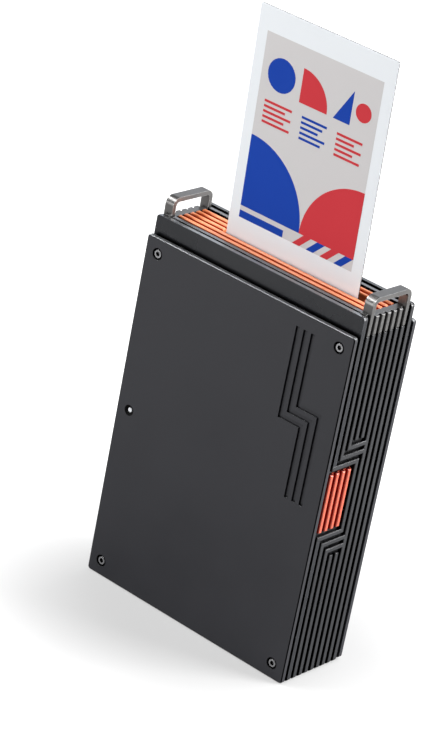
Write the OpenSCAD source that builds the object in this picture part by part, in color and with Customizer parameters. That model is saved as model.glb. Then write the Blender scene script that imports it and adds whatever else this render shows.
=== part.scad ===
// Compact photo printer: a slim upright body built like a stack of thin layers, with a print
// standing in the slot of its orange top deck. Millimetres, +Z up, front at -Y.
// The origin is on the ground, under the middle of the body.

/* [Body] */
// Width of the body, left to right
body_w = 85.5; // [80:0.5:100]
// Depth of the body, from the front plate's face to the film door's face
body_d = 30.4; // [29.5:0.1:36]
// Height of the front and rear shells
shell_h = 127; // [122:0.5:145]
// Height of the lower outer plates: the front plate and the film door
plate_h = 120.8; // [110:0.2:120.8]
// Thickness of every layer and width of every rib
rib_w = 1.55; // [1.4:0.05:1.7]
// Depth of the grooves between the ribs
groove_depth = 1.1; // [0.8:0.1:1.2]
// Radius of the corners of each layer
corner_r = 1; // [0.6:0.1:2]
// Thickness of the side and bottom walls, ribs included
side_wall = 3.2; // [3:0.1:3.5]

/* [Front plate] */
// Distance of the screws from the plate's edges
screw_inset = 5.15; // [5:0.05:5.6]
// Diameter of the screw counterbores
counterbore_d = 4; // [3.8:0.1:4.4]
// Diameter of the screw heads
screw_head_d = 2.9; // [2.7:0.1:3.3]
// Diameter of the screw shanks
screw_d = 2; // [1.8:0.1:2.2]
// Distance of the lamp from the plate's left edge
lamp_inset = 5.25; // [5.2:0.05:5.5]
// Height of the lamp above the ground
lamp_z = 60.7; // [52:0.1:66]
// Diameter of the lamp's ring
lamp_ring_d = 3.6; // [3:0.1:4]
// Diameter of the lamp's light pipe
lamp_d = 1.6; // [1.4:0.1:1.8]
// Width of the engraved lines
engrave_w = 1.5; // [1:0.1:2]
// Depth of the engraved lines
engrave_depth = 0.6; // [0.2:0.05:0.8]

/* [Loops] */
// Width of a loop bracket, from the side of the body inwards
loop_w = 3.4; // [3:0.1:3.6]
// Height of the loops above the shells
loop_rise = 5.8; // [5:0.1:8]
// Outer radius of a loop's upper corners
loop_r = 2.8; // [2:0.1:3]
// Height of a bracket's ribbed apron
apron_h = 6.4; // [6.2:0.1:8]
// Drop of the shelf between a loop's legs below the shell's top
shelf_drop = 0.5; // [0.3:0.1:1]

/* [Button] */
// Height of the power button
button_h = 20.4; // [16:0.2:22]
// Travel of the power button
button_travel = 0.8; // [0.5:0.1:0.8]
// Number of ribs on the power button
button_ribs = 4; // [4:1:4]

/* [Print and film] */
// Width of a print
print_w = 54; // [50:0.5:56]
// Height of a print
print_h = 86; // [80:0.5:86]
// Thickness of a print
print_t = 0.5; // [0.4:0.05:0.6]
// Place of the print's middle, right of the body's middle
print_x = 4.1; // [3.5:0.1:4.1]
// Length of the print that stands above the deck
print_out = 76.6; // [74:0.2:77.5]
// Lean of the print towards the front, in degrees
print_lean = 3.25; // [2.5:0.25:3.5]
// Play beside the print at each end of the slot
slot_play = 2; // [1:0.1:2.5]
// Space beside the sheets in the film pack, walls included
pack_side = 6; // [3:0.5:6]
// Space above and below the sheets in the film pack, walls included
pack_end = 4; // [3:0.5:4]
// Height of the film pack's foot above the ground
pack_z = 10; // [9:0.5:10.5]

/* [Rollers and gears] */
// Diameter of the drive and pinch rollers
roller_d = 5; // [4.4:0.1:5]
// Diameter of the roller shafts
shaft_d = 2.4; // [2:0.1:2.6]
// Height of the rollers above the ground
roller_z = 113; // [112:0.1:113.2]
// Gear module
gear_module = 0.5; // [0.45:0.01:0.5]
// Teeth on the roller gear
roller_teeth = 16; // [15:1:16]
// Teeth on the idler gear
idler_teeth = 20; // [19:1:20]
// Teeth on the motor pinion
pinion_teeth = 10; // [10:1:11]
// Width of the gears
gear_w = 2.4; // [1.6:0.1:2.6]
// Diameter of the motor
motor_d = 7; // [6:0.1:7]
// Length of the motor
motor_l = 20; // [15:0.5:22]

/* [Film door] */
// Radius of the door's hinge barrel
hinge_r = 1.35; // [1.2:0.05:1.35]
// Diameter of the hinge pins
hinge_pin_d = 1.2; // [1:0.05:1.3]
// Height of each hinge lug
lug_h = 7; // [5:0.5:9]
// Travel of the door latch
latch_travel = 3; // [2:0.1:3.2]

/* [Clearances] */
// Running fit between a shaft or pin and its bore, on the radius
run_fit = 0.05; // [0.02:0.01:0.08]
// Gap between neighbouring fixed pieces
seat_gap = 0.1; // [0.05:0.01:0.15]
// Gap round pieces that move
move_gap = 0.3; // [0.2:0.05:0.35]

/* [Hidden] */
$fn = 48;
eps = 0.01;
layer_count = 11;
pitch = (body_d - rib_w) / (layer_count - 1);
groove_w = pitch - rib_w;
half_w = body_w / 2;
core_half = half_w - groove_depth;
inner_half = half_w - side_wall;
function layer_front(k) = -body_d / 2 + (k - 1) * pitch;
function layer_rear(k) = layer_front(k) + rib_w;

// Heights at the top of the body
shelf_z = shell_h - shelf_drop;
apron_z = shelf_z - apron_h;
loop_top = shell_h + loop_rise;
deck_rib_z = shell_h - 0.2;
deck_z = deck_rib_z - groove_depth;
tray_floor_z = deck_z - 2.5;
loop_inner = half_w - loop_w;
deck_half = loop_inner - seat_gap;

// The print's plane leans about a line at the deck, in the slot behind rib 5
slot_front = layer_rear(5);
slot_rear = layer_front(7);
print_y = slot_front + groove_w / 2;
slot_x0 = print_x - print_w / 2 - slot_play;
slot_x1 = print_x + print_w / 2 + slot_play;
print_hidden = print_h - print_out;
function film_y(z) = print_y + (shell_h - z) * tan(print_lean);

// Places on the front plate
screw_x = half_w - screw_inset;
screw_zs = [screw_inset, plate_h - screw_inset];
screw_reach = 8;
head_h = 0.8;
counterbore_h = 1;
boss_d = 3.7;
lamp_x = -half_w + lamp_inset;
engrave_inset = 22.2;
engrave_step = 8.5;
engrave_top = plate_h - 5;
engrave_foot = plate_h - 60;
engrave_step_z = plate_h - 36;

// The button's window and the ribs that turn round it
button_z0 = (shell_h - button_h) / 2;
button_z1 = button_z0 + button_h;
button_base_y0 = layer_rear(1) + 0.25;
button_base_y1 = layer_front(6) - 0.8;
button_flange = 1;
button_floor = half_w - groove_depth - 0.05;
button_back = inner_half - 0.1;
flange_y1 = button_base_y1 + 1.2;
stem_d = 3;
stem_y = layer_front(5) - 2.7;
stem_tip = button_back - button_flange - 1.2;
button_mid = (button_z0 + button_z1) / 2;
function turn_z(k) = groove_w + (k - 2) * pitch;

// Electronics behind the front shell
board_t = 1;
board_y = layer_front(4) + 2;
board_z0 = 9;
board_z1 = 88;
board_half = inner_half - 1;
chip_h = 1.4;
battery_size = [42, 4, 50];
battery_at = [-board_half + 3.2, layer_rear(2) + seat_gap, 33];
chassis_t = 1;
chassis_y = board_y + board_t + 0.9;
usb_size = [7.3, 3.2, 9];
usb_z = 18;

// Film pack
pack_x0 = print_x - print_w / 2 - pack_side;
pack_x1 = print_x + print_w / 2 + pack_side;
pack_z1 = pack_z + print_h + 2 * pack_end;
pack_wall = 1.2;
pack_y0 = chassis_y + chassis_t + seat_gap;
pack_y1 = layer_front(10) + 0.4;
stack_t = 4;
window_gap = 1;

// Rollers, motor and gears
nip_gap = print_t + 0.2;
drive_y = film_y(roller_z) - nip_gap / 2 - roller_d / 2;
pinch_y = film_y(roller_z) + nip_gap / 2 + roller_d / 2;
roller_x0 = print_x - print_w / 2 - 1;
roller_x1 = print_x + print_w / 2 + 1;
frame_t = 1.6;
frame_left = roller_x0 - 2 - frame_t;
frame_right = roller_x1 + 2;
frame_foot = 91;
flange_t = 1.5;
bush_d = shaft_d + 2;
pinch_spring_y = pinch_y + 4.2;
pinch_spring_t = 0.3;
gear_x1 = frame_left - 1.6;
gear_x0 = gear_x1 - gear_w;
tip_gap = 0.12;
idler_y = drive_y;
idler_z = roller_z - gear_module * (roller_teeth + idler_teeth) / 2;
pinion_reach = gear_module * (idler_teeth + pinion_teeth) / 2;
motor_y = layer_rear(2) + 0.7 + motor_d / 2;
motor_z = idler_z - sqrt(pinion_reach * pinion_reach - pow(idler_y - motor_y, 2));
stud_d = 2;
motor_shaft_d = 1;
head_z0 = roller_z - roller_d / 2 - 7.2;
head_z1 = roller_z - roller_d / 2 - 1.2;
head_y0 = layer_rear(2) + 1;
lens_y1 = film_y(head_z0) - 1;
pick_y = max(pack_y0 + 0.6, flange_y1 + move_gap);
pick_w = 2;
pick_spring_z1 = pack_z1 + 5.6;

// Film door, its hinge and its latch
door_y = layer_front(11);
door_pad_y = layer_rear(10) + 0.25;
hinge_x = -half_w + hinge_r;
hinge_y = body_d / 2 - hinge_r;
door_lift = 0.4;
door_z0 = door_lift;
barrel_z0 = 10;
barrel_z1 = plate_h - 10;
latch_w = 8;
latch_h = 12;
latch_x = half_w - 1.85;
latch_z = plate_h / 2;
tongue_w = 1.2;
tongue_h = 5;
pocket_depth = 0.9;
seal_w = 1.2;
seal_t = 0.7;
rear_screw_x = inner_half - 3.4;
rear_screw_zs = [side_wall + 2.2, apron_z - 3.4];
rear_boss_l = min(4, layer_front(10) - pinch_spring_y - pinch_spring_t - 0.05);

// Colours
charcoal = [0.24, 0.245, 0.26];
gunmetal = [0.49, 0.475, 0.46];
orange = [0.95, 0.42, 0.18];
coral = [0.94, 0.46, 0.36];
steel = [0.75, 0.76, 0.78];
brass = [0.8, 0.65, 0.35];
black = [0.08, 0.08, 0.09];
board_green = [0.1, 0.35, 0.22];
rubber = [0.15, 0.15, 0.16];
white = [0.95, 0.95, 0.97];

// A box from its lowest corner to its highest corner
module span(a, b) {
    translate(a) cube(b - a);
}

// The outline of a layer, seen from the front, drawn in from its edges by inset
module outline(height, inset = 0, foot = 0) {
    r = max(corner_r - inset, 0.2);
    translate([-half_w + inset + r, foot + inset + r])
        offset_square(body_w - 2 * inset - 2 * r, height - foot - 2 * inset - 2 * r, r);
}

// A rectangle with round corners whose middle rectangle is w by h
module offset_square(w, h, r) {
    translate([0, -r]) square([w, h + 2 * r]);
    translate([-r, 0]) square([w + 2 * r, h]);
    for (x = [0, w], z = [0, h]) translate([x, z]) circle(r);
}
// Stands an outline up as a slab between two depths
module slab(y0, y1) {
    translate([0, y1, 0]) rotate([90, 0, 0]) linear_extrude(y1 - y0) children();
}

// A rod along X between two places
module rod_x(x0, x1, y, z, d) {
    translate([x0, y, z]) rotate([0, 90, 0]) cylinder(d = d, h = x1 - x0);
}

// A rod along Y between two places
module rod_y(y0, y1, x, z, d) {
    translate([x, y1, z]) rotate([90, 0, 0]) cylinder(d = d, h = y1 - y0);
}

module screw_places() {
    for (x = [-screw_x, screw_x], z = screw_zs) translate([x, 0, z]) children();
}

module rear_screw_places() {
    for (x = [-rear_screw_x, rear_screw_x], z = rear_screw_zs) translate([x, 0, z]) children();
}

// Three engraved lines that run down side by side and step to the right together
module engraving() {
    x0 = half_w - engrave_inset;
    for (i = [0 : 2]) {
        shift = i * 2 * engrave_w;
        z = engrave_step_z + shift;
        translate([x0 + shift, z]) square([engrave_w, engrave_top - z]);
        translate([x0 + shift, z]) square([engrave_step + engrave_w, engrave_w]);
        translate([x0 + shift + engrave_step, engrave_foot])
            square([engrave_w, z + engrave_w - engrave_foot]);
    }
}

module front_plate() {
    y0 = layer_front(1);
    y1 = layer_rear(1);
    color(charcoal) difference() {
        slab(y0, y1) outline(plate_h);
        slab(y0 - 1, y0 + engrave_depth) engraving();
        screw_places() {
            rod_y(y0 - 1, y1 + 1, 0, 0, screw_d + 0.2);
            rod_y(y0 - 1, y0 + counterbore_h, 0, 0, counterbore_d);
        }
        rod_y(y0 - 1, y1 + 1, lamp_x, lamp_z, lamp_ring_d + 2 * run_fit);
    }
}

// Four hex socket screws that hold the front plate
module plate_screws() {
    y0 = layer_front(1) + counterbore_h - head_h;
    color(steel) screw_places() difference() {
        union() {
            rod_y(y0, y0 + head_h, 0, 0, screw_head_d);
            rod_y(y0 + head_h, y0 + screw_reach, 0, 0, screw_d);
        }
        translate([0, y0 + 0.55, 0]) rotate([90, 0, 0]) cylinder(d = 1.7, h = 1, $fn = 6);
    }
}

// The dished black ring round the lamp
module lamp_ring() {
    y0 = layer_front(1);
    r0 = lamp_ring_d / 2;
    r1 = lamp_d / 2 + run_fit;
    color(black) translate([lamp_x, y0, lamp_z]) rotate([-90, 0, 0]) rotate_extrude()
        polygon([[r1, 0.7], [r0 - 0.15, 0], [r0, 0], [r0, rib_w], [r1, rib_w]]);
}

module lamp_lens() {
    color(white) rod_y(layer_front(1) + 0.45, board_y - chip_h, lamp_x, lamp_z, lamp_d);
}

// The front shell: layer 2, the step behind the front plate and the screw bosses
module front_shell() {
    y0 = layer_front(2);
    y1 = layer_rear(2);
    pad_y = layer_rear(1);
    color(charcoal) difference() {
        union() {
            slab(y0, y1) outline(shell_h);
            slab(pad_y, y0 + eps) outline(plate_h, groove_depth);
            screw_places() rod_y(y1 - eps, y1 + 4, 0, 0, boss_d);
        }
        screw_places() rod_y(pad_y - 1, y1 + 5, 0, 0, screw_d + 0.1);
        rod_y(pad_y - 1, y1 + 1, lamp_x, lamp_z, lamp_d + 2 * seat_gap);
        span([button_back - 1 - button_travel, pad_y - 1, button_z0 - turn_z(2) - rib_w],
            [half_w + 1, y1 + 1, button_z1 + turn_z(2) + rib_w]);
    }
}

// One rib of a layer, as a thin frame on the sides and the foot, up to height
module rib_frame(k, height) {
    slab(layer_front(k), layer_rear(k)) difference() {
        outline(height + 5);
        translate([-core_half, groove_depth]) square([2 * core_half, height + 10]);
        translate([-half_w - 1, height]) square([body_w + 2, 20]);
    }
}

// The ribs that turn round the button on the right side
module turning_ribs() {
    x0 = core_half - eps;
    for (k = [2 : 4]) {
        rise = turn_z(k);
        last = k == 2 ? 6 : 7;
        for (z = [button_z1 + rise, button_z0 - rise - rib_w])
            span([x0, layer_front(k), z], [half_w, layer_rear(last), z + rib_w]);
    }
    span([x0, layer_front(6), button_z0 - turn_z(2) - rib_w],
        [half_w, layer_rear(6), button_z1 + turn_z(2) + rib_w]);
    span([x0, layer_front(7), button_z0 - turn_z(5)], [half_w, layer_rear(7), button_z1 + turn_z(5)]);
}

// The space on the right side that the turning ribs fill
module turning_space(k) {
    rise = turn_z(min(k, 5));
    span([core_half, layer_front(k) - 0.2, button_z0 - rise],
        [half_w + 1, layer_rear(k) + 0.2, button_z1 + rise]);
}

// The middle frame: left, right and bottom walls with ribs 3 to 9
module mid_frame() {
    y0 = layer_rear(2);
    y1 = layer_front(10);
    patch_z0 = button_z0 - turn_z(2) - rib_w;
    patch_z1 = button_z1 + turn_z(2) + rib_w;
    color(charcoal) difference() {
        union() {
            difference() {
                union() {
                    slab(y0, y1) difference() {
                        outline(apron_z + 5, groove_depth);
                        translate([-half_w, apron_z]) square([body_w, 20]);
                    }
                    for (k = [3 : 9]) rib_frame(k, apron_z);
                }
                slab(y0 - 1, y1 + 1) translate([-inner_half, side_wall])
                    square([2 * inner_half, shell_h]);
                for (k = [3 : 6]) turning_space(k);
            }
            turning_ribs();
            span([inner_half, layer_rear(1) + seat_gap, patch_z0], [core_half, y0 + eps, patch_z1]);
            tray_ledges();
            rear_bosses();
        }
        span([inner_half - 1, layer_rear(1) - 1, button_z0 - move_gap],
            [half_w + 1, button_base_y1 + move_gap, button_z1 + move_gap]);
        span([-half_w - 1, board_y - usb_size[1] - 0.3, usb_z - 0.3],
            [-inner_half + 1, board_y + 0.3, usb_z + usb_size[2] + 0.3]);
        for (side = [-1, 1]) loop_tenon(side, seat_gap / 2);
    }
}

// Ledges inside the side walls that carry the deck tray
module tray_ledges() {
    for (side = [-1, 1]) {
        x0 = side < 0 ? -inner_half - eps : inner_half - 1.8;
        span([x0, layer_rear(2), apron_z - 1.6], [x0 + 1.8 + eps, layer_front(10), apron_z]);
    }
}

// Bosses for the screws of the rear shell
module rear_bosses() {
    y1 = layer_front(10);
    y0 = y1 - rear_boss_l;
    for (x = [-rear_screw_x, rear_screw_x]) {
        low = rear_screw_zs[0];
        high = rear_screw_zs[1];
        difference() {
            union() {
                for (z = [low, high]) rod_y(y0, y1, x, z, 4);
                span([x - 2, y0, side_wall - eps], [x + 2, y1, low]);
                span([x < 0 ? -inner_half - eps : x, y0, high - 2],
                    [x < 0 ? x : inner_half + eps, y1, high + 2]);
            }
            for (z = [low, high]) rod_y(y0 - 1, y1 + 1, x, z, screw_d + 0.1);
        }
    }
}

// The tongue under a loop bracket that sits in the top of the side wall
module loop_tenon(side, gap) {
    x = side * (inner_half + 1);
    span([x - 0.5 - gap, -6 - gap, apron_z - 3 - gap], [x + 0.5 + gap, 6 + gap, apron_z + eps]);
}

// A strap loop with its ribbed apron; side is -1 for left and 1 for right
module loop_bracket(side) {
    y0 = layer_front(3);
    y1 = layer_rear(9);
    x0 = side < 0 ? -half_w : loop_inner;
    outer = side < 0 ? -half_w - 1 : core_half;
    difference() {
        union() {
            span([x0, y0, apron_z], [x0 + loop_w, y1, shelf_z]);
            translate([x0, 0, 0]) rotate([90, 0, 90]) linear_extrude(loop_w) loop_outline(y0, y1);
            span([x0 + (side < 0 ? groove_depth : 0), layer_rear(2) + seat_gap, apron_z],
                [x0 + loop_w - (side > 0 ? groove_depth : 0), y0 + eps, shell_h + 0.3]);
            loop_tenon(side, 0);
        }
        for (k = [3 : 8])
            span([outer, layer_rear(k), apron_z - 1],
                [outer + 1 + groove_depth, layer_front(k + 1), shelf_z + 1]);
    }
}

// The upright loop seen from the side, between its front and rear legs
module loop_outline(y0, y1) {
    inner_r = max(loop_r - rib_w, 0.6);
    difference() {
        union() {
            translate([y0, apron_z + 1]) square([y1 - y0, loop_top - loop_r - apron_z - 1]);
            translate([y0 + loop_r, apron_z + 1]) square([y1 - y0 - 2 * loop_r, loop_top - apron_z - 1]);
            for (y = [y0 + loop_r, y1 - loop_r]) translate([y, loop_top - loop_r]) circle(loop_r);
        }
        translate([y0 + rib_w, shelf_z])
            square([y1 - y0 - 2 * rib_w, loop_top - loop_r - shelf_z]);
        translate([y0 + loop_r, shelf_z])
            square([y1 - y0 - 2 * loop_r, loop_top - rib_w - shelf_z]);
        for (y = [y0 + loop_r, y1 - loop_r]) translate([y, loop_top - loop_r]) circle(inner_r);
    }
}

module left_loop() { color(gunmetal) loop_bracket(-1); }

module right_loop() { color(gunmetal) loop_bracket(1); }

// The dark tray under the deck, with ribs 3 and 9 as its front and rear walls
module deck_tray() {
    y0 = layer_rear(2) + seat_gap;
    y1 = layer_front(10) - seat_gap;
    color(charcoal) difference() {
        union() {
            span([-deck_half, y0, apron_z], [deck_half, y1, tray_floor_z]);
            for (k = [3, 9])
                span([-deck_half, layer_front(k), tray_floor_z - eps],
                    [deck_half, layer_rear(k), deck_rib_z]);
        }
        span([slot_x0, slot_front - 0.4, apron_z - 1], [slot_x1, slot_rear, tray_floor_z + 1]);
    }
}

// The orange deck: ribs 4 to 8, with the print slot in place of rib 6
module top_deck() {
    y0 = layer_rear(3) + seat_gap;
    y1 = layer_front(9) - seat_gap;
    color(orange) difference() {
        union() {
            span([-deck_half, y0, tray_floor_z], [deck_half, y1, deck_z]);
            for (k = [4 : 8])
                span([-deck_half, layer_front(k), deck_z - eps], [deck_half, layer_rear(k), deck_rib_z]);
        }
        span([slot_x0, slot_front, tray_floor_z - 1], [slot_x1, slot_rear, deck_rib_z + 1]);
    }
}

// The power button: ribs 2 to 5 on a base, a flange behind the wall and a stem
module power_button() {
    back = button_back - button_flange;
    color(coral) {
        span([button_back - eps, button_base_y0, button_z0],
            [button_floor, button_base_y1, button_z1]);
        for (i = [0 : button_ribs - 1])
            span([button_floor - eps, layer_front(2 + i), button_z0],
                [half_w, layer_rear(2 + i), button_z1]);
        span([back, layer_rear(2) + move_gap, button_z0 - 1.2],
            [button_back, flange_y1, button_z1 + 1.2]);
        rod_x(stem_tip, back + eps, stem_y, button_mid, stem_d);
    }
}

// The push switch on the main board, just beyond the button's stem
module tact_switch() {
    x1 = stem_tip - button_travel - 0.15;
    color(black) {
        span([x1 - 4.2, board_y - 4.2, button_mid - 2.6], [x1 - 0.5, board_y, button_mid + 2.6]);
        rod_x(x1 - 0.5 - eps, x1, stem_y, button_mid, 2);
    }
}

// The rear shell: layer 10 with the film window, the hinge lugs and the keeper slot
module rear_shell() {
    y0 = layer_front(10);
    y1 = layer_rear(10);
    color(charcoal) difference() {
        union() {
            slab(y0, y1) outline(shell_h);
            hinge_lugs();
        }
        span([pack_x0 - window_gap, y0 - 1, pack_z - window_gap],
            [pack_x1 + window_gap, y1 + 1, pack_z1 + window_gap]);
        span([pack_x0 - window_gap - seal_w, y1 - seal_t + 0.1, pack_z - window_gap - seal_w],
            [pack_x1 + window_gap + seal_w, y1 + 1, pack_z1 + window_gap + seal_w]);
        tongue_slot(y0 - 1, y1 + 1);
        rear_screw_places() {
            rod_y(y0 - 1, y1 + 1, 0, 0, screw_d + 0.2);
            rod_y(y1 - 0.9, y1 + 1, 0, 0, screw_head_d + 0.4);
        }
        for (z = [barrel_z0 - 4, barrel_z1 - 1])
            translate([hinge_x, hinge_y, z]) cylinder(d = hinge_pin_d, h = 5);
    }
}

// Lugs above and below the door's barrel that hold the hinge pins
module hinge_lugs() {
    y1 = layer_rear(10);
    for (z = [barrel_z0 - move_gap - lug_h, barrel_z1 + move_gap]) {
        translate([hinge_x, hinge_y, z]) cylinder(r = hinge_r, h = lug_h);
        span([hinge_x - hinge_r, y1 - eps, z], [hinge_x + hinge_r, hinge_y, z + lug_h]);
    }
}

module rear_screws() {
    y1 = layer_rear(10) - 0.1;
    color(steel) rear_screw_places() difference() {
        union() {
            rod_y(y1 - head_h, y1, 0, 0, screw_head_d);
            rod_y(y1 - rib_w - rear_boss_l + 0.5, y1 - head_h, 0, 0, screw_d);
        }
        translate([0, y1 + 0.5, 0]) rotate([90, 0, 0]) cylinder(d = 1.7, h = 1, $fn = 6);
    }
}

// The foam ring that keeps light out of the film window
module light_seal() {
    y0 = layer_rear(10) - seal_t + 0.1;
    a = window_gap + seal_w - seat_gap;
    b = window_gap + 0.05;
    color(rubber) difference() {
        span([pack_x0 - a, y0, pack_z - a], [pack_x1 + a, y0 + seal_t, pack_z1 + a]);
        span([pack_x0 - b, y0 - 1, pack_z - b], [pack_x1 + b, y0 + 2, pack_z1 + b]);
    }
}

// The film door: layer 11, hinged along the left rear edge
module film_door() {
    y1 = body_d / 2;
    color(charcoal) difference() {
        union() {
            intersection() {
                slab(door_y, y1) outline(plate_h, 0, door_z0);
                span([hinge_x, door_y - 1, -1], [half_w + 1, y1 + 1, plate_h + 1]);
            }
            slab(door_pad_y, door_y + eps) intersection() {
                outline(plate_h, groove_depth, door_z0);
                translate([hinge_x + hinge_r + 1, 0]) square([body_w, plate_h]);
            }
            translate([hinge_x, hinge_y, barrel_z0]) cylinder(r = hinge_r, h = barrel_z1 - barrel_z0);
        }
        for (z = [-1, barrel_z1])
            span([-half_w - 1, door_pad_y - 1, z],
                [hinge_x + hinge_r + 0.4, y1 + 1, z < 0 ? barrel_z0 : plate_h + 1]);
        for (z = [barrel_z0 - 1, barrel_z1 - 4.2])
            translate([hinge_x, hinge_y, z]) cylinder(d = hinge_pin_d + 2 * run_fit, h = 5.2);
        latch_pocket();
    }
}

// The pocket in the door that the latch slides in
module latch_pocket() {
    y1 = body_d / 2;
    span([latch_x - latch_w - move_gap, y1 - pocket_depth, latch_z - latch_h / 2 - move_gap],
        [latch_x + move_gap, y1 + 1, latch_z + latch_h / 2 + latch_travel + move_gap]);
    tongue_slot(door_pad_y - 1, y1 + 1);
}

// The slot that the latch's tongue passes through, between two depths
module tongue_slot(y0, y1) {
    span([latch_x - tongue_w - move_gap, y0, latch_z - tongue_h / 2 - move_gap],
        [latch_x + move_gap, y1, latch_z + tongue_h / 2 + latch_travel + move_gap]);
}

// Two short steel pins pressed into the lugs
module hinge_pins() {
    color(steel) for (z = [barrel_z0 - 4, barrel_z1 - 4])
        translate([hinge_x, hinge_y, z]) cylinder(d = hinge_pin_d, h = 8);
}

// The sliding latch with its thumb ribs and its tongue
module door_latch() {
    y1 = body_d / 2;
    plate_y = y1 - pocket_depth + seat_gap;
    face_y = y1 - 0.35;
    color(gunmetal) {
        span([latch_x - latch_w, plate_y, latch_z - latch_h / 2], [latch_x, face_y, latch_z + latch_h / 2]);
        for (i = [0 : 4]) {
            z = latch_z - latch_h / 2 + 1.2 + i * 2.1;
            span([latch_x - latch_w + 0.8, face_y - eps, z], [latch_x - 0.8, y1, z + 1.1]);
        }
        span([latch_x - tongue_w, layer_front(10) + 0.2, latch_z - tongue_h / 2],
            [latch_x, plate_y + eps, latch_z + tongue_h / 2]);
    }
}

// Two leaf springs inside the door that press the film pack forwards
module pressure_springs() {
    spring_y = pack_y1 + move_gap;
    for (x = [print_x - 18, print_x + 12]) color(steel) {
        span([x, door_pad_y - 0.3, 28], [x + 6, door_pad_y, 38]);
        translate([x, 0, 38]) rotate([90, 0, 90]) linear_extrude(6)
            polygon([[door_pad_y - 0.3, -0.1], [door_pad_y, -0.1], [spring_y + 0.3, 20],
                [spring_y, 20]]);
        span([x, spring_y, 57.9], [x + 6, spring_y + 0.3, 64]);
    }
}

// The film pack's plastic case, with its picture window and the slot that a sheet leaves by
module film_pack() {
    exit_y = film_y(pack_z1);
    color(black) difference() {
        span([pack_x0, pack_y0, pack_z], [pack_x1, pack_y1, pack_z1]);
        span([pack_x0 + pack_wall, pack_y0 + pack_wall, pack_z + pack_wall],
            [pack_x1 - pack_wall, pack_y1 - pack_wall, pack_z1 - pack_wall]);
        span([print_x - 23, pack_y0 - 1, pack_z + 20], [print_x + 23, pack_y0 + 2, pack_z + 82]);
        span([print_x - print_w / 2 - 1, pack_y0 + 0.4, pack_z1 - 2],
            [print_x + print_w / 2 + 1, exit_y + 1.2, pack_z1 + 1]);
        span([pack_x1 - 1, pack_y0 - 1, pack_z + 1],
            [pack_x1 + 1, pick_y + pick_w - 0.6 + move_gap, pack_z + 16]);
    }
}

// The sheets of film left in the pack
module film_stack() {
    y0 = pack_y0 + pack_wall + seat_gap;
    z0 = pack_z + pack_wall + 0.5;
    color(white)
        span([print_x - print_w / 2, y0, z0], [print_x + print_w / 2, y0 + stack_t, z0 + print_h]);
}

// The bowed plate in the pack that pushes the sheets forwards
module pack_spring() {
    y0 = pack_y0 + pack_wall + seat_gap + stack_t;
    y1 = pack_y1 - pack_wall;
    color(steel) {
        span([print_x - 24, y0, 26], [print_x + 24, y0 + 0.4, 90]);
        for (z = [36, 76]) translate([print_x - 24, 0, z]) rotate([90, 0, 90]) linear_extrude(48)
            polygon([[y0 + 0.3, -2], [y0 + 0.3, 2], [y1 - 0.1, 5], [y1 - 0.1, 3]]);
    }
}

// The print, standing in the slot
module print_card() {
    color(white) translate([print_x, print_y, shell_h]) rotate([print_lean, 0, 0])
        span([-print_w / 2, -print_t / 2, -print_hidden], [print_w / 2, print_t / 2, print_out]);
}

// The frame under the tray that holds both rollers, the motor and the exposure head
module roller_frame() {
    y0 = layer_rear(2) + 0.6;
    y1 = pinch_spring_y;
    foot_y1 = min(idler_y + 1.6, pack_y0 - seat_gap);
    color(steel) difference() {
        union() {
            span([frame_left, y0, apron_z - flange_t], [frame_right + frame_t, y1, apron_z]);
            span([frame_left, y0, roller_z - 6], [frame_left + frame_t, y1, apron_z]);
            span([frame_left, y0, frame_foot], [frame_left + frame_t, foot_y1, roller_z]);
            span([frame_right, y0, head_z0], [frame_right + frame_t, foot_y1, apron_z]);
            span([frame_right + frame_t - eps, pick_y, pick_spring_z1],
                [pack_x1 + 1.5, pick_y + pick_w, pick_spring_z1 + 1]);
            span([frame_right, y0, roller_z - 6], [frame_right + frame_t, y1, apron_z]);
            rod_x(gear_x0 - 0.6, frame_left + eps, idler_y, idler_z, stud_d);
        }
        span([slot_x0, slot_front - 0.8, apron_z - 3], [slot_x1, slot_rear + 0.5, apron_z + 1]);
        for (y = [drive_y, pinch_y])
            rod_x(frame_left - 1, frame_right + 5, y, roller_z, bush_d);
        rod_x(frame_left - 1, frame_left + 5, motor_y, motor_z, 2.4);
    }
}

module drive_shaft() {
    color(steel) rod_x(gear_x0 - 0.8, frame_right + frame_t + 1, drive_y, roller_z, shaft_d);
}

// The rubber sleeve on the drive shaft
module drive_roller() {
    color(rubber) difference() {
        rod_x(roller_x0, roller_x1, drive_y, roller_z, roller_d);
        rod_x(roller_x0 - 1, roller_x1 + 1, drive_y, roller_z, shaft_d);
    }
}

module pinch_shaft() {
    color(steel) rod_x(frame_left - 1, frame_right + frame_t + 1, pinch_y, roller_z, shaft_d);
}

// The steel sleeve on the pinch shaft
module pinch_roller() {
    color(steel) difference() {
        rod_x(roller_x0, roller_x1, pinch_y, roller_z, roller_d);
        rod_x(roller_x0 - 1, roller_x1 + 1, pinch_y, roller_z, shaft_d);
    }
}

// Four bushes that carry the two shafts in the frame
module shaft_bushes() {
    color(brass) for (x = [frame_left, frame_right], y = [drive_y, pinch_y]) difference() {
        rod_x(x, x + frame_t, y, roller_z, bush_d);
        rod_x(x - 1, x + frame_t + 1, y, roller_z, shaft_d + 2 * run_fit);
    }
}

// Two leaf springs behind the pinch roller's bushes
module pinch_springs() {
    for (x = [frame_left, frame_right]) color(steel) {
        span([x, pinch_spring_y, roller_z - 5],
            [x + frame_t, pinch_spring_y + pinch_spring_t, roller_z + 5]);
    }
}

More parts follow.
